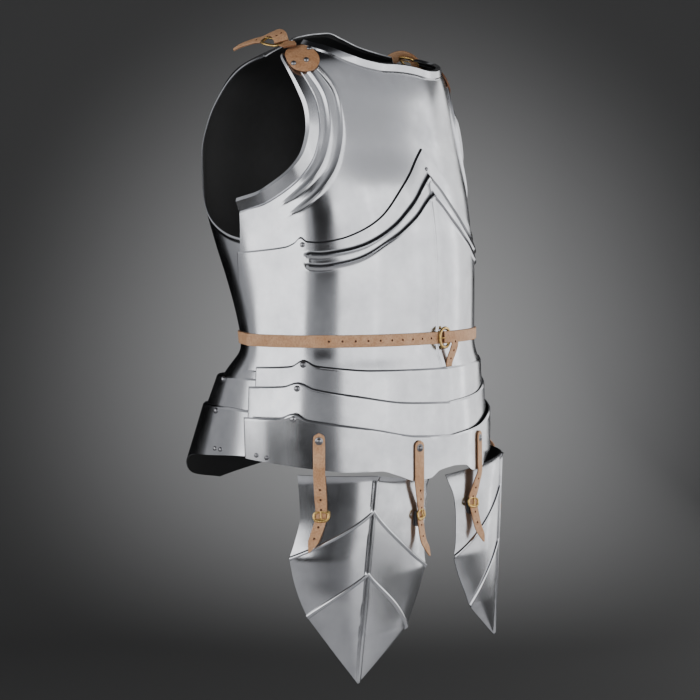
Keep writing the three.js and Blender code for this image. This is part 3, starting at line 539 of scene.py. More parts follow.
def descend(surface, angle, height, distances):
    """Heights that lie at some distances below a height, down the surface at one angle."""
    heights = height - np.arange(0, 60, 0.5)
    walked = arc_table(surface(np.full_like(heights, angle), heights))
    return np.interp(distances, walked, heights)


def arc_table(points):
    """Distance walked from the first point to each point of a line."""
    return np.concatenate([[0], np.cumsum(np.linalg.norm(np.diff(points, axis=0), axis=1))])


def profile_lift(distance, profile):
    profile = np.asarray(profile, dtype=float)
    return np.interp(distance, profile[:, 0], profile[:, 1])


def cusp(distance, half_width):
    """A gothic flute: hollow flanks that meet in a sharp crest."""
    return np.clip(1 - np.abs(distance) / half_width, 0, 1) ** 2.8


def spaced(start, stop, step):
    return list(np.linspace(start, stop, max(2, int(round((stop - start) / step)) + 1))[:-1])


def rows_between(marks):
    """Heights of a patch's rows: each mark has its own heights and the count of rows down to it."""
    rows = [marks[0][0]]
    for (above, _), (below, count) in zip(marks, marks[1:]):
        rows += [mix(above, below, k / count) for k in range(1, count + 1)]
    return np.array(rows)


# Places along an arm opening, from 0 at the neck to 1 at the side, between which its rim and the
# flutes grow to full height and die away again.
RIM_GROWS, RIM_FADES = (0, 0.35), (0.75, 1)
FLUTES_GROW, FLUTES_FADE = (0.03, 0.15), (0.66, 0.82)


def swell(t, between):
    low, high = between
    return ease((t - low) / (high - low))


def arm_edge(plan):
    """The arm opening: angle and height at a place from 0 to 1 along it, with no kinks."""
    arm = np.array(plan["arm"], dtype=float)
    stride = arc_table(plan["surface"](arm[:, 0], arm[:, 1]))
    table = np.column_stack([stride, arm])
    fine = np.linspace(0, stride[-1], 400)
    edges = []
    for column in (1, 2):
        edge = softened(monotone(table, fine, column), 7)
        edge[[0, -1]] = arm[[0, -1], column - 1]
        edges.append(edge)
    return lambda t: np.array([np.interp(t * stride[-1], fine, edge) for edge in edges])


def path_from_arm(plan, edge_at, t, finish):
    """Angles and heights of a curve that leaves the arm opening square to its edge."""
    surface, start = plan["surface"], edge_at(t)
    turn, rise = edge_at(min(1, t + 0.02)) - edge_at(max(0, t - 0.02))
    by_angle = surface(start[0] + 0.5, start[1]) - surface(start[0] - 0.5, start[1])
    by_height = surface(start[0], start[1] + 0.5) - surface(start[0], start[1] - 0.5)
    tangent = by_angle * turn + by_height * rise
    step = np.array([-by_height @ tangent, by_angle @ tangent])
    step /= np.linalg.norm(by_angle * step[0] + by_height * step[1])
    reach = np.linalg.norm(surface(*start) - surface(*finish)) * plan["lead"]
    lead = start + step * reach * np.sign(step @ (finish - start))
    s = np.linspace(0, 1, 90)[:, None]
    return (1 - s) ** 2 * start + 2 * s * (1 - s) * lead + s * s * finish


def rim_and_flutes(plan, t, distance, room):
    """Lift of the plate at some distances from the arm opening."""
    grown, faded = plan["rim_swell"]
    rim = mix(grown, 1, swell(t, RIM_GROWS)) * mix(1, faded, swell(t, RIM_FADES))
    lift = profile_lift(distance, plan["rim_profile"]) * rim
    flutes = room * swell(t, FLUTES_GROW) * (1 - swell(t, FLUTES_FADE))
    for crest, half_width, height in plan["flutes"]:
        lift += flutes * height * cusp(distance - crest, half_width)
    return lift


def line_from_arm(plan, edge_at, t, finish):
    """Points of one line of a plate: dense over the rim and the flutes, then wider apart."""
    path = path_from_arm(plan, edge_at, t, finish)
    walked = arc_table(plan["surface"](path[:, 0], path[:, 1]))
    # towards the neck the rim and the flutes draw together
    squeeze = mix(plan["squeeze"], 1, swell(t, (0, 0.3)))
    near = np.array(plan["near"]) * squeeze
    room = ease((walked[-1] - near) / 12)
    lift = rim_and_flutes(plan, t, near / squeeze, room)
    onward = mix(near[-1], walked[-1], np.linspace(0, 1, plan["fill"] + 1)[1:] ** 1.15)
    distances = np.concatenate([near, onward])
    lifts = np.concatenate([lift, np.zeros(plan["fill"])])
    angles = np.interp(distances, walked, path[:, 0])
    heights = np.interp(distances, walked, path[:, 1])
    return lifted(plan["surface"], angles, heights, plan["lift"] + lifts)


def neck_strip(plan, angles):
    """The turned rim of the neck, from its foot up to its edge."""
    profile = np.array(plan["neck_profile"], dtype=float)
    distances = np.array(sorted(set(profile[:, 0]) | set(spaced(0, profile[-1, 0], 1.2))))[::-1]
    lift = plan["lift"] + profile_lift(distances, profile)
    strip = []
    for angle in angles:
        heights = descend(plan["surface"], angle, float(neck_edge(angle)), distances)
        strip.append(lifted(plan["surface"], np.full_like(heights, angle), heights, lift))
    return np.array(strip)


def half_plate(plan):
    """Half of a plate with an arm opening, as patches: lines that leave the opening square to its
    edge and end at the neck rim, the middle of the plate or its lower edge."""
    to_neck, to_middle = plan["split"]
    edge_at = arm_edge(plan)

    def neck_angle(t):
        return mix(plan["neck_angle"], plan["centre"], t / to_neck)

    def neck_base(angle):
        rim_width = plan["neck_profile"][-1][0]
        return float(descend(plan["surface"], angle, float(neck_edge(angle)), rim_width))

    def bottom_angle(t):
        return mix(plan["centre"], plan["side"], ((t - to_middle) / (1 - to_middle)) ** 0.7)

    def far_end(t):
        if t <= to_neck:
            return np.array([neck_angle(t), neck_base(neck_angle(t))])
        if t <= to_middle:
            drop = (t - to_neck) / (to_middle - to_neck)
            return np.array([plan["centre"], mix(neck_base(plan["centre"]), plan["bottom"], drop)])
        return np.array([bottom_angle(t), plan["bottom"]])

    marks = [0, to_neck, to_middle, 1]
    stations = [0.0]
    for k, count in enumerate(plan["counts"]):
        stations += list(np.linspace(marks[k], marks[k + 1], count + 1)[1:])

    patches = [
        np.array([line_from_arm(plan, edge_at, t, far_end(t)) for t in stations]),
        neck_strip(plan, [neck_angle(t) for t in stations if t <= to_neck]),
    ]
    if plan["skirt"]:
        feet = np.array([bottom_angle(t) for t in stations if t >= to_middle])
        heights = np.linspace(plan["bottom"], plan["skirt"], 22)
        grid_angle, grid_height = np.meshgrid(feet, heights)
        patches.append(lifted(plan["surface"], grid_angle, grid_height, plan["lift"]))
    return patches


# distances from the arm opening, close together over the rim and the flutes
FLUTE_STEPS = spaced(0, 4.5, 1.5) + spaced(4.5, 16.5, 2) + [16.5, 17.2, 18]
for near_flute, far_flute in ((19, 29), (29, 37.5), (37.5, 46), (46, 56)):
    FLUTE_STEPS += spaced(near_flute, far_flute, 1.2)
# Profiles give the outward lift at each distance from an edge. Flutes give the distance of a crest,
# its half width and height. The splits say how much of the arm opening faces the neck, the middle
# line and the lower edge, and counts how many lines each of these gets.
BREAST = {
    "surface": torso,
    "arm": BREAST_ARM,
    "neck_angle": 86,
    "centre": 0,
    "bottom": -300,
    "side": 104.5,
    "skirt": None,
    "rim_profile": [[0, 6], [4.5, 9], [16.5, 2.2], [17.2, -0.9], [18, -0.5], [19, 0], [100, 0]],
    "neck_profile": [[0, 0.6], [4.2, 5.2], [12.2, 2.2], [13.8, 0.1], [15, 0]],
    "rim_swell": (0.3, 0.55),
    "flutes": [(30, 7.5, 3.2), (47, 7.5, 3.2)],
    "near": FLUTE_STEPS,
    "split": (0.34, 0.62),
    "lead": 0.35,
    "squeeze": 0.6,
    "counts": (44, 30, 44),
    "fill": 26,
    "lift": 0,
}
BACK = {
    **BREAST,
    "arm": BACK_ARM,
    "neck_angle": 103,
    "centre": 180,
    "bottom": -368,
    "side": 89,
    "skirt": -440,
    "rim_profile": [[0, 1.5], [2.5, 2.5], [5.5, 0.6], [7, 0], [100, 0]],
    "neck_profile": [[0, 1.5], [2.5, 2.5], [6, 0.8], [7, 0]],
    "rim_swell": (1, 1),
    "flutes": [],
    "near": spaced(0, 7, 1) + [7],
    "split": (0.3, 0.7),
    "squeeze": 1,
    "counts": (30, 34, 34),
    "fill": 46,
    "lift": BACK_LIFT,
}
breastplate = plate("breastplate_shell", half_plate(BREAST), "breastplate")
backplate = plate("backplate_shell", half_plate(BACK), "backplate")

# ---- plackart --------------------------------------------------------------------------------

RIDGE_HEIGHTS = (3.4, 3.0)
RIDGE_REACH = 7
RIDGE_END = 69.5
MEDIAL_HALF_WIDTH, MEDIAL_FLANK, MEDIAL_HEIGHT = 5.2, 2.0, 2.4
# the body's radius in front, at the ridges' ends and at the rear edge, to turn angles into lengths
FRONT_RADIUS, SIDE_RADIUS, REAR_RADIUS = 135, 185, 190
CUSP_ANGLE, REAR_ANGLE = 76.3, 104.5
PLACKART_BEVEL, PLACKART_BEVEL_WIDTH = 1.2, 2.4


def plackart_patch():
    """Half of the plackart: rows run along its top edge and ridges, then level towards the waist."""
    angles = np.array(
        spaced(0, 4, 0.4) + spaced(4, 62, 1) + spaced(62, 80, 0.6) + spaced(80, 103.5, 1.2)
        + [103.5, 103.8, 104.15, 104.5]
    )
    top = monotone(PLACKART_TOP, angles)
    drops = [monotone(PLACKART_DROPS, angles, 1), monotone(PLACKART_DROPS, angles, 2)]
    crests = [top - drops[0], top - drops[1]]
    middle = (crests[0] + crests[1]) / 2
    marks = [
        (top, 0), (top - PLACKART_BEVEL_WIDTH, 3), (crests[0] + RIDGE_REACH, 4), (crests[0], 6),
        (middle, 6), (crests[1], 6), (crests[1] - RIDGE_REACH, 6), (np.full_like(top, -368.0), 30),
        (np.full_like(top, -399.0), 10), (np.full_like(top, float(PLACKART_BOTTOM)), 10),
    ]
    heights = rows_between(marks)
    grid_angle = np.broadcast_to(angles, heights.shape)
    # the two crests run together in a round end
    past = np.maximum(0, grid_angle - RIDGE_END) * math.radians(SIDE_RADIUS)
    apart = (crests[0] - crests[1]) / 2
    away = np.abs(np.hypot(past, heights - middle) - apart)
    ridge = np.where(heights >= middle, *RIDGE_HEIGHTS)
    lift = ridge * cusp(away, np.minimum(RIDGE_REACH, apart))
    across = np.radians(grid_angle) * FRONT_RADIUS
    below_apex = ease((crests[0] + 4 - heights) / 12)
    lift += MEDIAL_HEIGHT * below_apex * np.clip((MEDIAL_HALF_WIDTH - across) / MEDIAL_FLANK, 0, 1)
    end = monotone(PLACKART_SIDE, heights)
    past_cusp = (grid_angle - CUSP_ANGLE) / (REAR_ANGLE - CUSP_ANGLE)
    drawn = np.where(grid_angle <= CUSP_ANGLE, grid_angle, mix(CUSP_ANGLE, end, past_cusp))
    # the top and rear edges are filed to a bevel
    from_side = (REAR_ANGLE - grid_angle) * math.radians(REAR_RADIUS)
    bevel = PLACKART_BEVEL * np.clip(
        1 - np.minimum(top - heights, from_side) / PLACKART_BEVEL_WIDTH, 0, 1
    )
    return lifted(torso, drawn, heights, PLACKART_LIFT + lift - bevel)


plackart = plate("plackart_shell", [plackart_patch()], "plackart")

# ---- hoops -----------------------------------------------------------------------------------


def hoop_surface(plan, squareness):
    """A cone of oval section, from a hoop's upper height, half width and depth to its lower ones."""
    (high, half_high, depth_high), (low, half_low, depth_low) = plan["upper"], plan["lower"]

    def surface(angle, height):
        t = (height - high) / (low - high)
        radius = oval(angle, mix(half_high, half_low, t), mix(depth_high, depth_low, t), squareness)
        return polar(angle, radius, height)

    return surface


# millimetres: how wide and deep a hoop's edges are bevelled, and half the width of its medial ridge
HOOP_BEVEL, HOOP_BEVEL_WIDTH, HOOP_MEDIAL = 1.5, 2.6, 14
HOOP_FRONT_RADIUS, HOOP_SIDE_RADIUS = 155, 205


def hoop(plan, start, squareness, medial):
    """A hoop of the skirt from the middle of the body to its end, and the same on the other side."""
    surface = hoop_surface(plan, squareness)
    reach = abs(plan["end"] - start)
    last = np.sign(plan["end"] - start)
    angles = np.concatenate([
        np.linspace(start, plan["end"] - last, int(reach)), plan["end"] - last * np.array([0.7, 0.35, 0]),
    ])
    t = np.concatenate([np.linspace(0, 0.06, 5), np.linspace(0.06, 1, 26)[1:]])[:, None]
    top, bottom = monotone(plan["top"], angles), monotone(plan["bottom"], angles)
    heights = mix(top, bottom, t)
    grid_angle = np.broadcast_to(angles, heights.shape)
    across = np.radians(grid_angle) * HOOP_FRONT_RADIUS
    lift = medial * np.clip(1 - np.abs(across) / HOOP_MEDIAL, 0, 1)
    from_end = np.abs(plan["end"] - grid_angle) * math.radians(HOOP_SIDE_RADIUS)
    bevel = HOOP_BEVEL * np.clip(1 - np.minimum(top - heights, from_end) / HOOP_BEVEL_WIDTH, 0, 1)
    patch = lifted(surface, grid_angle, heights, lift - bevel)
    return plate(plan["name"] + "_shell", [patch], plan["name"])


FAULD_MEDIAL_HEIGHT = 0.9
hoops = {}
for plan in FAULD:
    hoops[plan["name"]] = hoop(plan, 0, FAULD_SQUARENESS, FAULD_MEDIAL_HEIGHT)
for plan in CULET:
    hoops[plan["name"]] = hoop(plan, 180, CULET_SQUARENESS, 0)

# ---- tassets ---------------------------------------------------------------------------------

RIB_HALF_WIDTH, RIB_HEIGHT = 4.0, 2.6
ROLL_HALF_WIDTH, ROLL_HEIGHT = 3.2, 2.4
TURNED_WIDTH, TURNED_HEIGHT = 4, 1.6


def leaf_edge(leaf, height):
    """Where a leaf ends at each height: hollow stretches that meet in points."""
    rows = np.array(TASSET_EDGE[leaf], dtype=float)
    cuts = [-1000] + TASSET_CUSPS[leaf] + [0]
    out = np.zeros(np.shape(height) + (2,))
    for low, high in zip(cuts, cuts[1:]):
        part = rows[(rows[:, 0] >= low) & (rows[:, 0] <= high)]
        inside = (height > low) & (height <= high) if low > -1000 else height <= high
        for c in (1, 2):
            out[..., c - 1] = np.where(inside, monotone(part, height, c), out[..., c - 1])
    return out


def leaf_point(leaf, across, height, lift):
    """A place on a leaf, 0 to 1 across it from the ridge, and how wide the leaf is at its height."""
    ridge = np.stack([monotone(TASSET_RIDGE, height, c) for c in (1, 2)], axis=-1)
    chord = leaf_edge(leaf, height) - ridge
    size = np.maximum(np.linalg.norm(chord, axis=-1), 1e-6)
    turn = 1 if leaf == "outboard" else -1
    way = turn * np.stack([-chord[..., 1], chord[..., 0]], axis=-1) / size[..., None]
    stand = 4 * across * (1 - across) * TASSET_BULGE * size + lift
    place = ridge + chord * np.asarray(across)[..., None] + way * stand[..., None]
    return np.stack([place[..., 0], -place[..., 1], height], axis=-1), size


def leaf_patch(leaf):
    """One leaf of a tasset: rows run level with its top edge, its two flutes and its tip."""
    across = np.concatenate([np.linspace(0, 0.06, 6), np.linspace(0.06, 1, 34)[1:]])

    def level(marks):
        return mix(marks["ridge"], marks[leaf], across**0.8)

    top, flutes = level(TASSET_TOP), [level(m) for m in TASSET_FLUTES]
    heights = rows_between([
        (top, 0), (flutes[0] + ROLL_HALF_WIDTH, 14), (flutes[0] - ROLL_HALF_WIDTH, 10),
        (flutes[1] + ROLL_HALF_WIDTH, 20), (flutes[1] - ROLL_HALF_WIDTH, 10),
        (np.full_like(top, float(TASSET_TIP)), 34),
    ])
    grid = np.broadcast_to(across, heights.shape)
    size = leaf_point(leaf, grid, heights, np.zeros_like(heights))[1]
    lift = RIB_HEIGHT * np.clip(1 - grid * size / RIB_HALF_WIDTH, 0, 1) ** 0.8
    for flute in flutes:
        roll = np.clip(1 - ((heights - flute) / ROLL_HALF_WIDTH) ** 2, 0, 1) ** 0.7
        lift = np.maximum(lift, ROLL_HEIGHT * roll * np.clip(size / 12, 0, 1))
    # the upper edge is turned out
    lift = lift + TURNED_HEIGHT * np.clip(1 - (top - heights) / TURNED_WIDTH, 0, 1)
    return leaf_point(leaf, grid, heights, lift)[0]


leaves = {leaf: leaf_patch(leaf) for leaf in ("inboard", "outboard")}
# how far from the middle of the body a tasset hangs
LEAF_MIDDLE = 90
# the two leaves share the crest of the medial rib
crest = (leaves["inboard"][:, 0] + leaves["outboard"][:, 0]) / 2
for patch in leaves.values():
    patch[:, 0] = crest
tassets = {}
for word, sign in (("right", -1), ("left", 1)):
    patches = [patch * np.array([sign, 1, 1]) for patch in leaves.values()]
    tassets[word] = plate(
        f"tasset_{word}_shell", patches, f"tasset_{word}", mirrored=False,
        away_from=(sign * LEAF_MIDDLE, 0), crease=30,
    )

# ---- leather ---------------------------------------------------------------------------------


def surface_tree(*pieces):
    """The shapes of some finished pieces, to rest others on."""
    points, faces = [], []
    for piece in pieces:
        first = len(points)
        points += [v.co.copy() for v in piece.data.vertices]
        faces += [[first + v for v in f.vertices] for f in piece.data.polygons]
    return BVHTree.FromPolygons(points, faces)


PROBE = 25


def rest(tree, point, out, gap, spreads=((0, 0),), tall=(0, 0, 1)):
    """Moves a point along its outward direction to stand a gap off what lies under it and around."""
    point, out = np.asarray(point, dtype=float), unit(np.asarray(out, dtype=float))
    across = unit(np.cross(tall, out))
    up = np.cross(out, across)
    highest = -1e9
    for sideways, rise in spreads:
        start = point + across * sideways + up * rise + out * PROBE
        hit = tree.ray_cast(Vector(start * MM), Vector(-out), 60 * MM)
        if hit[0] is not None:
            highest = max(highest, PROBE - hit[3] / MM)
    return point + out * (highest + gap if highest > -1e8 else 0)


def curve_point(a, b, c, d, t):
    """A place between b and c on the smooth curve that passes a, b, c and d."""
    return 0.5 * (
        (2 * b) + (c - a) * t + (2 * a - 5 * b + 4 * c - d) * t**2 + (3 * b - a - 3 * c + d) * t**3
    )


def spline(points, count):
    """A smooth curve of even steps through some points."""
    points = np.asarray(points, dtype=float)
    padded = np.vstack([2 * points[0] - points[1], points, 2 * points[-1] - points[-2]])
    curve = []
    for k in range(len(points) - 1):
        a, b, c, d = padded[k : k + 4]
        curve += [curve_point(a, b, c, d, t) for t in np.linspace(0, 1, 16, endpoint=False)]
    curve = np.array(curve + [points[-1]])
    walked = arc_table(curve[:, :3])
    even = np.linspace(0, walked[-1], count)
    return np.column_stack([np.interp(even, walked, curve[:, c]) for c in range(curve.shape[1])]), even


def closed_curve(points, count):
    """A smooth closed line through some angles and heights. A degree counts as three millimetres."""
    points = np.asarray(points, dtype=float)
    curve = []
    for k in range(len(points)):
        a, b, c, d = [points[(k + i) % len(points)] for i in (-1, 0, 1, 2)]
        curve += [curve_point(a, b, c, d, t) for t in np.linspace(0, 1, 12, endpoint=False)]
    curve = np.array(curve + [curve[0]])
    walked = arc_table(curve * [3, 1])
    even = np.linspace(0, walked[-1], count, endpoint=False)
    return np.column_stack([np.interp(even, walked, curve[:, c]) for c in (0, 1)])


# a strap's section, as places across (-1 to 1) and through its thickness (0 to 1)
STRAP_SECTION = [
    (-1, 0.3), (-1, 0.7), (-0.965, 0.9), (-0.9, 1), (-0.45, 1.02), (0, 1.03), (0.45, 1.02), (0.9, 1),
    (0.965, 0.9), (1, 0.7), (1, 0.3), (0.9, 0), (0, 0), (-0.9, 0),
]


def ribbon(name, path, outs, widths, material, thickness=LEATHER, closed=False, step=3.0, holes=()):
    """A strap along a path: its corners are rounded, its ends are closed, its holes are cut."""
    stations = np.column_stack([path, outs, np.asarray(widths)[:, None]])
    if closed:
        stations = np.vstack([stations, stations[:1]])
    total = arc_table(stations[:, :3])[-1]
    curve, walked = spline(stations, max(4, int(total / step)))
    if closed:
        curve = curve[:-1]
    centres, outs, widths = curve[:, :3], unit(curve[:, 3:6]), curve[:, 6]
    if closed:
        tangents = np.roll(centres, -1, axis=0) - np.roll(centres, 1, axis=0)
    else:
        tangents = np.gradient(centres, axis=0)
    sides = unit(np.cross(tangents, outs))
    points = []
    for centre, out, side, width in zip(centres, outs, sides, widths):
        for across, through in STRAP_SECTION:
            points.append(centre + side * across * width / 2 + out * through * thickness)
    count = len(STRAP_SECTION)
    faces = grid_faces(len(centres), count, closed=True)
    if closed:
        first = (len(centres) - 1) * count
        faces += [(first + j, first + (j + 1) % count, (j + 1) % count, j) for j in range(count)]
    else:
        faces += [tuple(range(count))[::-1], tuple((len(centres) - 1) * count + j for j in range(count))]
    strap = mesh_object(name, points, faces)
    strap.data.materials.append(material)
    strap.data.materials.append(cut_edge)
    work = bmesh.new()
    work.from_mesh(strap.data)
    bmesh.ops.recalc_face_normals(work, faces=work.faces)
    work.to_mesh(strap.data)
    work.free()
    for face in strap.data.polygons:
        j = face.index % count
        face.material_index = 1 if j in (0, 9) or face.index >= (len(centres) - 1) * count else 0
    if holes:
        walked = walked[: len(centres)]
        places = []
        for place, across in holes:
            side = unit(along_strap(sides, walked, place))
            places.append((
                along_strap(centres, walked, place) + side * across,
                unit(along_strap(outs, walked, place)),
            ))
        cut_holes(strap, places, thickness)
    shade(strap, 40)
    return strap


def along_strap(values, walked, place):
    return np.array([np.interp(place, walked, values[:, c]) for c in range(3)])


HOLE_RADIUS = 1.5
# how far above the back face each hole stops: the floor left there is painted shade, in place of a hole
# right through
HOLE_SHADE_FLOOR = 0.4
PUNCH_REACH = 1.5
PUNCH_SIDES = 12


def cut_holes(strap, places, thickness):
    """Punches round holes that stop short of the back face, as painted shade: the floor left in each
    stands in for the dark of a hole right through the leather.
    """
    points, faces = [], []
    for centre, out in places:
        across = unit(np.cross(out, [0.3, 0.2, 1]))
        up = np.cross(out, across)
        first, count = len(points), PUNCH_SIDES
        for depth in (HOLE_SHADE_FLOOR, thickness + PUNCH_REACH):
            for k in range(count):
                a = 2 * math.pi * k / count
                round_hole = (across * math.cos(a) + up * math.sin(a)) * HOLE_RADIUS
                points.append(centre + out * depth + round_hole)
        faces += prism_faces(count, first)
    punch = mesh_object("punch", points, faces)
    punch.data.materials.append(cut_edge)
    work = bmesh.new()
    work.from_mesh(punch.data)
    bmesh.ops.recalc_face_normals(work, faces=work.faces)
    work.to_mesh(punch.data)
    work.free()
    cut = strap.modifiers.new("holes", "BOOLEAN")
    cut.operation = "DIFFERENCE"
    cut.solver = "EXACT"
    cut.object = punch
    apply_modifiers(strap)
    bpy.data.objects.remove(punch, do_unlink=True)


# ---- buckles and rivets ----------------------------------------------------------------------


def tube(name, path, radii, closed, material, sides=10, flat=1.0):
    """A bar of round or flattened section along a path in the X, Y plane with a rise in Z."""
    path = np.asarray(path, dtype=float)
    radii = np.broadcast_to(radii, len(path))
    if closed:
        tangents = unit(np.roll(path, -1, axis=0) - np.roll(path, 1, axis=0))
    else:
        tangents = unit(np.gradient(path, axis=0))
    points = []
    for centre, tangent, radius in zip(path, tangents, radii):
        side = unit(np.cross(tangent, [0, 0, 1]))
        up = np.cross(side, tangent)
        for k in range(sides):
            a = 2 * math.pi * k / sides
            points.append(centre + side * math.cos(a) * radius + up * math.sin(a) * radius * flat)
    faces = grid_faces(len(path), sides, closed=True)
    if closed:
        first = (len(path) - 1) * sides
        faces += [(first + j, first + (j + 1) % sides, (j + 1) % sides, j) for j in range(sides)]
    else:
        faces += [tuple(range(sides))[::-1], tuple((len(path) - 1) * sides + j for j in range(sides))]
    made = mesh_object(name, points, faces)
    made.data.materials.append(material)
    return made


def join(name, parts):
    """One piece from several meshes, each keeping its finish."""
    work = bmesh.new()
    materials = []
    for part in parts:
        index = {}
        for k, material in enumerate(part.data.materials):
            if material not in materials:
                materials.append(material)
            index[k] = materials.index(material)
        for face in part.data.polygons:
            face.material_index = index.get(face.material_index, 0)
        copy = part.data.copy()
        copy.transform(part.matrix_basis)
        work.from_mesh(copy)
        bpy.data.meshes.remove(copy)
    mesh = bpy.data.meshes.new(name)
    bmesh.ops.recalc_face_normals(work, faces=work.faces)
    work.to_mesh(mesh)
    work.free()
    for material in materials:
        mesh.materials.append(material)
    for part in parts:
        bpy.data.objects.remove(part, do_unlink=True)
    made = bpy.data.objects.new(name, mesh)
    bpy.context.scene.collection.objects.link(made)
    shade(made, 40)
    return made


def stand(point, out, up):
    """The placing of a piece drawn in its own X, Y plane: it faces outward, with its Y along up."""
    out = unit(np.asarray(out, dtype=float))
    across = unit(np.cross(up, out))
    up = np.cross(out, across)
    basis = Matrix([[across[r], up[r], out[r], point[r] * MM] for r in range(3)] + [[0, 0, 0, 1]])
    return basis


def put(piece, basis):
    piece.data.transform(basis)
    piece.data.update()
    return piece


def rounded_loop(width, height, power, count=48):
    """A rounded frame, between an oval (power 2) and a rectangle (a high power)."""
    loop = []
    for k in range(count):
        a = 2 * math.pi * k / count
        c, s = math.cos(a), math.sin(a)
        loop.append([
            math.copysign(abs(c) ** (2 / power), c) * width / 2,
            math.copysign(abs(s) ** (2 / power), s) * height / 2,
            0,
        ])
    return loop


def buckle(name, width, height, power, bar):
    """A cast frame with a bar across its middle and a tongue that lies on the frame."""
    parts = [tube(name + "_frame", rounded_loop(width, height, power), bar, True, buckle_brass, flat=0.8)]
    hinge = -height * 0.32
    cross_bar = [[across * width * 0.46, hinge, -0.4] for across in (-1, 0, 1)]
    parts.append(tube(name + "_bar", cross_bar, bar * 0.6, False, buckle_brass))
    tongue = [
        [0, hinge, 1.2], [0, hinge * 0.6, 1.9], [0, 0, 1.9], [0, height * 0.3, 1.9],
        [0, height * 0.53, 1.7],
    ]
    parts.append(tube(name + "_tongue", tongue, [1.3, 1.15, 1.05, 0.95, 0.6], False, buckle_brass))
    return join(name, parts)


# how high a rivet head stands, for its radius
DOME_RISE = 0.62


def dome(name, point, out, radius, washer=0.0):
    """A domed rivet head, on a washer if it holds leather."""
    rings = [(radius, -0.2), (radius, 0.25)]
    rings += [
        (radius * math.cos(a), 0.25 + radius * DOME_RISE * math.sin(a))
        for a in np.linspace(0.15, math.pi / 2 - 0.06, 8)
    ]
    if washer:
        rings = [(washer, -0.2), (washer, 0.35), (washer * 0.93, 0.55), (radius * 1.02, 0.6)] + [
            (r, h + 0.4) for r, h in rings[1:]
        ]
    count = 24
    points = [
        [r * math.cos(2 * math.pi * k / count), r * math.sin(2 * math.pi * k / count), h]
        for r, h in rings for k in range(count)
    ]
    faces = grid_faces(len(rings), count, closed=True)
    faces.append(tuple(range(count))[::-1])
    faces.append(tuple((len(rings) - 1) * count + k for k in range(count)))
    head = mesh_object(name, points, faces)
    head.data.materials.append(rivet_steel)
    put(head, stand(point, out, [0.1, 0.2, 1]))
    shade(head, 50)
    return head


def rivet_on(node, tree, surface, angle, height, radius, washer=0.0, slot="rivets"):
    """A domed rivet that rests on what lies over a place of a surface."""
    side = 1 if angle >= 0 else -1
    mirror = np.array([side, 1, 1])
    base = surface(abs(angle), height) * mirror
    out = outward(surface, abs(angle), height) * mirror
    point = rest(tree, base, out, 0.1)
    dress(dome(node + "_head", point, out, radius, washer), slot, node)


# ---- waist belt ------------------------------------------------------------------------------

plates_tree = surface_tree(plackart, backplate)


def belt_station(angle):
    """Where the middle of the belt lies on the plates at an angle, and the way out from there."""
    at, side = abs(angle), 1 if angle >= 0 else -1
    mirror = np.array([side, 1, 1])
    point, out = torso(at, BELT_HEIGHT) * mirror, outward(torso, at, BELT_HEIGHT) * mirror
    spreads = [(x, z) for x in (-9, -6, -3, 0, 3, 6, 9) for z in (-8.7, -4, 0, 4, 8.7)]
    return rest(plates_tree, point, out, REST_GAP, spreads), out


# the angle of the first hole over the wearer's right front, the step in millimetres, and how many
BELT_FIRST_HOLE, BELT_HOLE_STEP, BELT_HOLES = 63, 17.0, 11


def waist_belt():
    """The closed loop of leather, laid over the plates and evened out between high places."""
    angles = np.arange(-177, 180, 4.5)
    stations = [belt_station(angle) for angle in angles]
    path = np.array([s[0] for s in stations])
    outs = np.array([s[1] for s in stations])
    radius = np.linalg.norm(path[:, :2], axis=1)
    smooth = radius.copy()
    for _ in range(2):
        smooth = (np.roll(smooth, 1) + 2 * smooth + np.roll(smooth, -1)) / 4
    path[:, :2] *= (np.maximum(smooth, radius) / radius)[:, None]
    first = np.interp(BELT_FIRST_HOLE, angles, arc_table(path))
    holes = [(first - BELT_HOLE_STEP * k, 0) for k in range(BELT_HOLES)]
    widths = np.full(len(path), BELT_WIDTH)
    belt = ribbon("waist_belt_leather", path, outs, widths, strap_leather, closed=True, holes=holes)
    dress(belt, "strap_leather", "waist_belt")
    return belt


belt = waist_belt()
belt_tree = surface_tree(belt, plackart)


BELT_TAIL = [
    # sideways and up from the buckle, stand-off, width
    [-4, 1, 1.6, 15], [6, 1, 3.6, 15], [14, -1, 4.4, 15], [17, -8, 4.6, 14.5], [14, -18, 3.6, 14],
    [9, -29, 2.4, 13.5], [6, -39, 2.2, 12], [5, -45, 2.4, 3],
]


def belt_front():
    """The round buckle and the free end that hangs from it over the plackart."""
    out = unit(np.array([0.04, -1, 0]))
    seat = rest(belt_tree, np.array([5.0, -140, BELT_HEIGHT]), out, 0.2, [(0, 0), (6, 0), (-6, 0)])
    frame_ring = buckle("waist_buckle_ring", 25, 23, 2.3, bar=2.3)
    put(frame_ring, Matrix.Rotation(math.radians(90), 4, "Z"))
    put(frame_ring, stand(seat + out * 1.6, out, [0, 0, 1]))
    dress(frame_ring, "brass", "waist_buckle")
    path = [seat + np.array([x, 0, z]) + out * lift for x, z, lift, _ in BELT_TAIL]
    tail = ribbon(
        "waist_belt_end", path, [out] * len(path), [width for *_, width in BELT_TAIL], strap_leather,
        holes=[(24, 0), (36, 0), (48, 0)],
    )
    dress(tail, "strap_leather", "waist_belt_tail")


belt_front()

# ---- shoulders -------------------------------------------------------------------------------

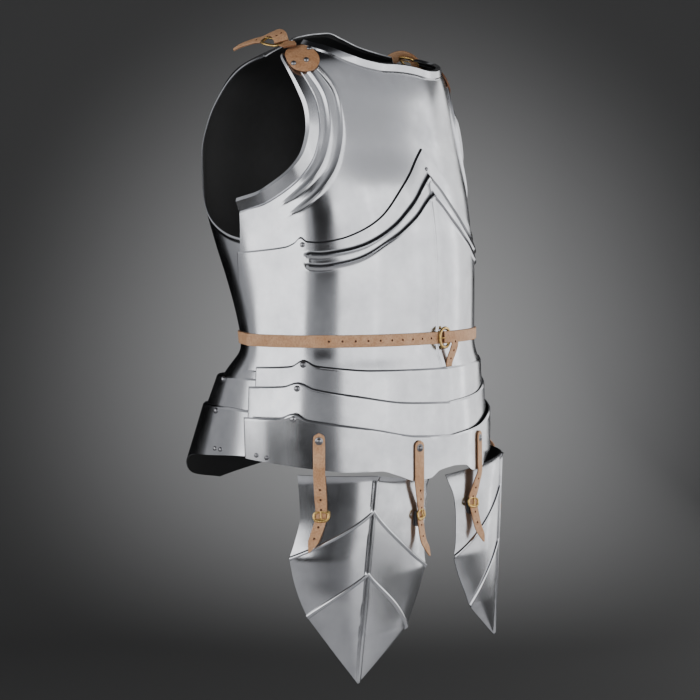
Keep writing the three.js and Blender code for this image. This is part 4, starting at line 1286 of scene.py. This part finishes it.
breast_tree = surface_tree(breastplate)
PATCH_CENTRE = np.array([80, -26])
PATCH_OUTLINE = [
    # angle and height of points round its edge
    [87, -16], [82.5, -35], [78.6, -44], [73.2, -43.5], [70.9, -34], [71.9, -22.5], [76.5, -15],
    [82, -11], [86.5, -11],
]
PATCH_END = [[148, -4, -6.5], [145, 8, -3.5], [143, 16, -2.5]]
SHOULDER_RIVETS = [(80.6, -35), (76.1, -30), (76.7, -16)]
SHOULDER_PATH = [
    # place, and width of the strap
    [147, 6, -3, 18], [142, 14, 7, 19], [137, 26, 12, 19], [134, 38, 10, 18], [135, 50, 6, 16],
    [139, 63, 4, 12], [146, 79, -1, 9], [150, 88, -6, 4],
]


def patch_lobe(word, mirror):
    """The round of leather by the neck, laid over the rim and the flutes without creasing."""
    compass = np.linspace(0, 2 * math.pi, 9)[:-1]
    ring = [(0, 0)] + [(r * math.cos(a), r * math.sin(a)) for r in (5, 10) for a in compass]
    outline = closed_curve(PATCH_OUTLINE, 48)
    grid = np.zeros((10, len(outline), 3))
    lifts = np.zeros(grid.shape[:2])
    outs = np.zeros_like(grid)
    for i, t in enumerate(np.linspace(0, 1, 10)):
        for j, edge in enumerate(outline):
            angle, height = mix(PATCH_CENTRE, edge, t)
            base, out = torso(angle, height), outward(torso, angle, height)
            placed = rest(breast_tree, base, out, 0.4, ring)
            lifts[i, j] = (placed - base) @ out
            grid[i, j], outs[i, j] = base, out
    for _ in range(6):
        padded = np.pad(np.pad(lifts, ((0, 0), (1, 1)), mode="wrap"), ((1, 1), (0, 0)), mode="edge")
        blur = (padded[:-2, 1:-1] + padded[2:, 1:-1] + padded[1:-1, :-2] + padded[1:-1, 2:]) / 4
        lifts = np.maximum(lifts * 0.5 + blur * 0.5, blur)
    surface = grid + outs * (lifts[..., None] + LEATHER)
    return leather_patch(f"shoulder_patch_{word}_lobe", surface * mirror, outs * mirror)


def shoulder(word, sign):
    """A patch riveted by the neck, whose end meets the strap, and the buckle that joins them."""
    mirror = np.array([-sign, 1, 1])
    lobe = patch_lobe(word, mirror)
    tree = surface_tree(lobe)
    end = [lifted(torso, angle, height, 7) * mirror for angle, height in ((85, -17), (87, -13))]
    end += [np.array([sign * x, y, z]) for x, y, z in PATCH_END]
    upright = [np.array([sign * 0.7, -0.3, 1.0])] * len(end)
    tongue = ribbon(f"shoulder_patch_{word}_end", end, upright, [17, 17, 16, 15, 14], patch_leather)
    patch = join(f"shoulder_patch_{word}_leather", [lobe, tongue])
    dress(patch, "patch_leather", f"shoulder_patch_{word}")
    for k, (angle, height) in enumerate(SHOULDER_RIVETS):
        rivet_on(f"shoulder_rivet_{word}_{k + 1}", tree, torso, -sign * angle, height, 3.4)

    path = [np.array([x * sign, y, z]) for x, y, z, _ in SHOULDER_PATH]
    out = np.array([sign * 0.75, -0.25, 1])
    strap = ribbon(
        f"shoulder_strap_{word}_leather", path, [out] * len(path),
        [width for *_, width in SHOULDER_PATH], strap_leather, holes=[(14, -3.5), (16, 3.5), (62, 0)],
    )
    dress(strap, "strap_leather", f"shoulder_strap_{word}")
    frame_ring = buckle(f"shoulder_buckle_{word}_ring", 25, 32, 3.2, bar=2.1)
    put(frame_ring, stand(np.array([sign * 145, 20, 1.5]), [sign * 0.6, -0.25, 1], [0, 1, 0.25]))
    dress(frame_ring, "brass", f"shoulder_buckle_{word}")


def leather_patch(name, surface, outs):
    """A sheet of leather of one thickness, given as rings of points on its outer face."""
    count = surface.shape[1]
    made = mesh_object(name, surface.reshape(-1, 3), grid_faces(surface.shape[0], count, closed=True))
    work = bmesh.new()
    work.from_mesh(made.data)
    bmesh.ops.remove_doubles(work, verts=work.verts, dist=0.2 * MM)
    bmesh.ops.dissolve_degenerate(work, edges=work.edges, dist=0.02 * MM)
    work.normal_update()
    facing = sum(f.normal.dot(Vector(outs[0, 0])) for f in work.faces)
    if facing < 0:
        bmesh.ops.reverse_faces(work, faces=work.faces)
    work.to_mesh(made.data)
    work.free()
    made.data.materials.append(patch_leather)
    made.data.materials.append(cut_edge)
    wall = made.modifiers.new("wall", "SOLIDIFY")
    wall.thickness = LEATHER * MM
    wall.offset = -1
    wall.material_offset_rim = 1
    apply_modifiers(made)
    shade(made, 45)
    return made


for word, sign in (("right", -1), ("left", 1)):
    shoulder(word, sign)

# ---- tasset straps ---------------------------------------------------------------------------


def leaf_station(leaf, across, height, sign):
    """A place on a tasset, 0 to 1 across a leaf from the ridge, and the way out from it."""
    def at(place, lift):
        return leaf_point(leaf, np.array(place), np.array(float(height)), np.array(float(lift)))[0]

    point = at(across, 0)
    out = unit(np.cross([0, 0, 1], at(across + 0.05, 0) - at(across - 0.05, 0)))
    if out @ (at(across, 1) - point) < 0:
        out = -out
    return point * [sign, 1, 1], out * [sign, 1, 1]


def tasset_strap(plan, word, sign):
    """A strap riveted to the lowest hoop, its buckle on the tasset and the tail below the buckle."""
    name, angle, rivet_height, leaf, across, buckle_height, tip, lean = plan
    lowest = FAULD[2]
    surface = hoop_surface(lowest, FAULD_SQUARENESS)
    tree = surface_tree(hoops[lowest["name"]], tassets[word])
    mirror = np.array([-sign, 1, 1])

    def on_hoop(height):
        return surface(angle, height) * mirror, outward(surface, angle, height) * mirror

    def between(hem, t):
        above, below = on_hoop(hem - 4), leaf_station(leaf, across, buckle_height + 6, sign)
        return mix(above[0], below[0], t), unit(mix(above[1], below[1], t))

    hem = float(monotone(lowest["bottom"], angle))
    stations = [
        (*on_hoop(rivet_height + 9.5), 2), (*on_hoop(rivet_height + 8.6), 8),
        (*on_hoop(rivet_height + 6), 13), (*on_hoop(rivet_height), STRAP_WIDTH),
        (*on_hoop(hem + 8), STRAP_WIDTH), (*on_hoop(hem - 4), STRAP_WIDTH),
        (*between(hem, 0.33), STRAP_WIDTH), (*between(hem, 0.66), STRAP_WIDTH),
        (*leaf_station(leaf, across, buckle_height + 6, sign), STRAP_WIDTH - 1),
        (*leaf_station(leaf, across, buckle_height - 6, sign), STRAP_WIDTH - 1),
        (*leaf_station(leaf, across, mix(buckle_height, tip, 0.6), sign), STRAP_WIDTH - 2),
        (*leaf_station(leaf, across, tip + 10, sign), STRAP_WIDTH - 4),
        (*leaf_station(leaf, across, tip, sign), 1.5),
    ]
    spreads = [(x, z) for x in (-STRAP_WIDTH / 2, 0, STRAP_WIDTH / 2) for z in (-10, -5, 0, 5, 10)]
    path, outs, widths = [], [], []
    for k, (point, out, width) in enumerate(stations):
        # the tail stands off the plate, as stiff leather does
        stand_off = 3 * (k >= 8) + 3 * max(0, k - 9)
        placed = rest(tree, point, out, 0.5 + stand_off, spreads)
        below = max(0.0, buckle_height - point[2])
        swing = lean * below / (buckle_height - tip)
        placed = placed + unit(np.cross([0, 0, 1], out)) * swing
        path.append(placed)
        outs.append(out)
        widths.append(width)
    for k in (6, 7):
        taut = mix(path[5], path[8], (k - 5) / 3)
        if (taut - path[k]) @ outs[k] > 0:
            path[k] = taut
    total = arc_table(np.array(path))
    at_buckle = np.interp(-buckle_height, [-p[2] for p in path], total)
    holes = [(at_buckle - 8 - 12.5 * k, 0) for k in range(3)] + [(at_buckle + 14, 0), (at_buckle + 29, 0)]
    strap = ribbon(f"tasset_strap_{name}_{word}_leather", path, outs, widths, strap_leather, holes=holes)
    dress(strap, "strap_leather", f"tasset_strap_{name}_{word}")
    strap_tree = surface_tree(strap)
    rivet_on(
        f"strap_rivet_{name}_{word}", strap_tree, surface, -sign * angle, rivet_height, 3.3, washer=5.0,
    )
    point, out = leaf_station(leaf, across, buckle_height, sign)
    seat = rest(strap_tree, point, out, 0.0, [(0, 0), (5, 0), (-5, 0)])
    frame_ring = buckle(f"tasset_buckle_{name}_{word}_frame", 18, 11.5, 2.8, bar=1.7)
    put(frame_ring, stand(seat + out * 0.2, out + np.array([0, 0, 0.15]), [0.12 * sign, 0, 1]))
    tab = chape(f"chape_{name}_{word}", rest(tree, point, out, 0.2), out)
    whole = join(f"tasset_buckle_{name}_{word}_set", [frame_ring, tab])
    dress(whole, "brass", f"tasset_buckle_{name}_{word}")


# measured upward from the buckle's bar, so the rivet lies below it
CHAPE_HALF_WIDTH, CHAPE_THICK, CHAPE_RIVET = 5.2, 1.4, -11


def chape(name, point, out):
    """A flat steel tab under the buckle, with the head of the rivet that holds it to the tasset."""
    outline = []
    for a in np.linspace(0, math.pi, 13):
        outline.append([CHAPE_HALF_WIDTH * math.cos(a), CHAPE_RIVET - CHAPE_HALF_WIDTH * math.sin(a)])
    outline += [[-CHAPE_HALF_WIDTH, 4], [CHAPE_HALF_WIDTH, 4]]
    count = len(outline)
    points = [[x, y, z] for z in (0.0, CHAPE_THICK) for x, y in outline]
    tab = mesh_object(name, points, prism_faces(count))
    tab.data.materials.append(rivet_steel)
    head = dome(name + "_rivet", [0, CHAPE_RIVET, CHAPE_THICK], [0, 0, 1], 2.3)
    whole = join(name, [tab, head])
    return put(whole, stand(point, out, [0, 0, 1]))


for plan in TASSET_STRAPS:
    for word, sign in (("right", -1), ("left", 1)):
        tasset_strap(plan, word, sign)

# ---- rivets of the plates --------------------------------------------------------------------

PIVOT_RADIUS, HEM_RADIUS = 4.0, 3.1
plackart_tree = surface_tree(plackart)
rivet_on("plackart_rivet_centre", plackart_tree, torso, 0, -162, 2.6)
for word, side in (("right", 1), ("left", -1)):
    rivet_on(f"plackart_rivet_{word}", plackart_tree, torso, side * 73, -261, 3.4)
    for plan in FAULD + CULET:
        square = FAULD_SQUARENESS if plan in FAULD else CULET_SQUARENESS
        tree = surface_tree(hoops[plan["name"]])
        angle, height = plan["pivot"]
        node = f"{plan['name']}_rivet_{word}"
        rivet_on(node, tree, hoop_surface(plan, square), side * angle, height, PIVOT_RADIUS)
    for plan, square, marks in (
        (FAULD[2], FAULD_SQUARENESS, [(86.5, -525), (82.5, -527)]),
        (CULET[1], CULET_SQUARENESS, [(108, -526), (111.5, -526)]),
    ):
        tree = surface_tree(hoops[plan["name"]])
        for k, (angle, height) in enumerate(marks):
            node = f"{plan['name']}_hem_rivet_{word}_{k + 1}"
            rivet_on(node, tree, hoop_surface(plan, square), side * angle, height, HEM_RADIUS)

# ---- studio ----------------------------------------------------------------------------------

VIEW_AZIMUTH, VIEW_DISTANCE, VIEW_HEIGHT = -51.0, 1996.0, -272.6
AIM_RADIUS, AIM_HEIGHT = -10.3, -404.0
LENS, SENSOR = 74.93, 36.0


def studio_camera():
    a = math.radians(VIEW_AZIMUTH)
    place = Vector((math.sin(a) * VIEW_DISTANCE, -math.cos(a) * VIEW_DISTANCE, VIEW_HEIGHT)) * MM
    across = Vector((math.cos(a), math.sin(a), 0))
    aim = across * AIM_RADIUS * MM + Vector((0, 0, AIM_HEIGHT * MM))
    data = bpy.data.cameras.new("studio_camera")
    data.lens, data.sensor_width = LENS, SENSOR
    camera = bpy.data.objects.new("studio_camera", data)
    camera.location = place
    camera.rotation_mode = "QUATERNION"
    camera.rotation_quaternion = (aim - place).to_track_quat("-Z", "Y")
    bpy.context.scene.collection.objects.link(camera)
    bpy.context.scene.camera = camera


studio_camera()


def around(azimuth, distance, height):
    """A place round the object: azimuth 0 is in front, and positive is towards the wearer's left."""
    a = math.radians(azimuth)
    return Vector((math.sin(a) * distance, -math.cos(a) * distance, height))


# metres: the boxes overlap a little, so that each bank is one unbroken light
SOFTBOX_WIDTH, SOFTBOX_DISTANCE, SOFTBOX_AIM = 1.46, 2.3, -0.4


def softbox(name, azimuth, foot, head, power):
    data = bpy.data.lights.new(name, "AREA")
    data.shape = "RECTANGLE"
    data.size, data.size_y = SOFTBOX_WIDTH, head - foot
    data.energy = power
    box = bpy.data.objects.new(name, data)
    box.location = around(azimuth, SOFTBOX_DISTANCE, (foot + head) / 2)
    aim = Vector((0, 0, SOFTBOX_AIM))
    box.rotation_mode = "QUATERNION"
    box.rotation_quaternion = (aim - box.location).to_track_quat("-Z", "Y")
    bpy.context.scene.collection.objects.link(box)


SOFTBOXES = [
    # azimuth, lower and upper edge in metres, and power: a bank on the wearer's right, a gap at the
    # camera, a bank in front and on the left
    (-121, -0.95, 0.6, 16), (-86, -0.75, 0.6, 15), (-15, -1.3, 0.75, 17),
    (19, -1.3, 0.75, 16), (53, -1.3, 0.75, 15), (84, -1.3, 0.6, 14),
]
for number, (azimuth, foot, head, power) in enumerate(SOFTBOXES):
    softbox(f"softbox_{number + 1}", azimuth, foot, head, power)


def seamless_paper(name, light, dark, centre, reach):
    """Grey seamless paper with a pool of light painted into its colour, brightest behind the object."""
    finish, tree = new_finish(name)
    place = add_node(tree, "ShaderNodeTexCoord").outputs["Object"]
    offset = add_node(tree, "ShaderNodeVectorMath", {"operation": "SUBTRACT"}, n0=place, n1=centre)
    far = add_node(tree, "ShaderNodeVectorMath", {"operation": "LENGTH"}, n0=offset.outputs["Vector"])
    near = add_node(tree, "ShaderNodeMath", {"operation": "DIVIDE"}, n0=far.outputs["Value"], n1=reach)
    fibre = add_node(tree, "ShaderNodeTexNoise", None, Vector=place, Scale=400.0, Detail=3.0)
    bump = add_node(
        tree, "ShaderNodeBump", None, Height=fibre.outputs["Fac"], Strength=0.05, Distance=0.001,
    )
    # painted light: the paper's colour runs from light at the centre of the glow to dark at its reach
    colour = ramp(tree, near.outputs["Value"], [(0.0, light), (1.0, dark)], "EASE")
    finish_shader(
        tree, Base_Color=colour, Roughness=0.9, Normal=bump.outputs["Normal"], Specular_IOR_Level=0.1,
    )
    return finish


# the pool of light painted on the paper is brightest at this height, and dark this far from there, in
# metres
PAINTED_GLOW_HEIGHT, PAINTED_GLOW_REACH = -0.64, 1.35


def sweep():
    """A floor that curves up into a wall behind the object."""
    floor_height, back, bend, tall, half = -1.25, 2.6, 1.0, 3.4, 4.0
    section = [(-5.0, floor_height), (-2.0, floor_height), (back - bend, floor_height)]
    section += [
        (back - bend + bend * math.sin(a), floor_height + bend - bend * math.cos(a))
        for a in np.linspace(0, math.pi / 2, 16)[1:]
    ]
    section.append((back, floor_height + tall))
    a = math.radians(VIEW_AZIMUTH)
    away = np.array([-math.sin(a), math.cos(a)])
    across = np.array([math.cos(a), math.sin(a)])
    points = []
    for distance, height in section:
        for side in (-half, half):
            x, y = away * distance + across * side
            points.append([x / MM, y / MM, height / MM])
    backdrop = mesh_object("seamless_sweep", points, grid_faces(len(section), 2))
    # the centre of the pool of light painted on the paper
    x, y = away * back + across * 0.06
    painted_glow_centre = (x, y, PAINTED_GLOW_HEIGHT)
    backdrop.data.materials.append(
        seamless_paper("grey_paper_painted_glow", "#bcbcbc", "#4a4a4a", painted_glow_centre, PAINTED_GLOW_REACH)
    )
    backdrop.data.shade_smooth()


sweep()


def card(name, azimuth, distance, height, width, tall, colour):
    """A flat card round the object, seen only as a reflection: a black one darkens an edge of steel."""
    finish, tree = new_finish(name)
    finish_shader(tree, Base_Color=linear(colour), Roughness=0.9, Specular_IOR_Level=0.0)
    panel = mesh_object(
        name,
        [[-width / 2, 0, 0], [width / 2, 0, 0], [width / 2, 0, tall], [-width / 2, 0, tall]],
        [(0, 1, 2, 3)],
    )
    panel.data.materials.append(finish)
    turn = Matrix.Rotation(math.radians(azimuth), 4, "Z")
    panel.matrix_world = Matrix.Translation(around(azimuth, distance, height)) @ turn
    panel.visible_camera = False
    panel.visible_shadow = False
    panel.visible_diffuse = False
    return panel


BOARD_HEIGHT = -1240


def floor_card():
    """Pale board on the floor before the object, which the tassets mirror."""
    finish, tree = new_finish("pale_floor_board")
    finish_shader(tree, Base_Color=linear("#c9c9cb"), Roughness=0.8)
    a = math.radians(VIEW_AZIMUTH)
    toward = np.array([math.sin(a), -math.cos(a), 0])
    across = np.array([math.cos(a), math.sin(a), 0])
    corners = [
        toward * near + across * side + [0, 0, BOARD_HEIGHT]
        for near, side in ((-400, -1500), (-400, 1500), (2200, 1500), (2200, -1500))
    ]
    board = mesh_object("floor_board", corners, [(0, 1, 2, 3)])
    board.data.materials.append(finish)
    return board


card("black_flag_rear", 157, 1.3, -1.1, 1400, 1500, "#050505")
card("dark_flag_camera", -46, 2.7, -0.3, 1200, 900, "#1c1c1e")
card("dark_flag_low", -66, 2.2, -1.22, 1200, 470, "#0c0c0d")
card("black_flag_left", 113, 1.5, -1.1, 950, 1500, "#050505")
floor_card()


def studio_air():
    """The room: grey at eye level, dark ceiling and floor."""
    world = bpy.data.worlds.new("studio_air")
    world.use_nodes = True
    tree = world.node_tree
    way = add_node(tree, "ShaderNodeTexCoord").outputs["Generated"]
    height = add_node(tree, "ShaderNodeSeparateXYZ", None, Vector=way).outputs["Z"]
    level = add_node(tree, "ShaderNodeMapRange", None, Value=height, n1=-1.0, n2=1.0)
    stops = [(0.0, "#1c1c1e"), (0.36, "#48484b"), (0.5, "#b4b5b8"), (0.76, "#c8c9cc"), (0.9, "#202022")]
    air = ramp(tree, level.outputs["Result"], stops)
    background = tree.nodes["Background"]
    tree.links.new(air, background.inputs["Color"])
    background.inputs["Strength"].default_value = 1.0
    bpy.context.scene.world = world


studio_air()
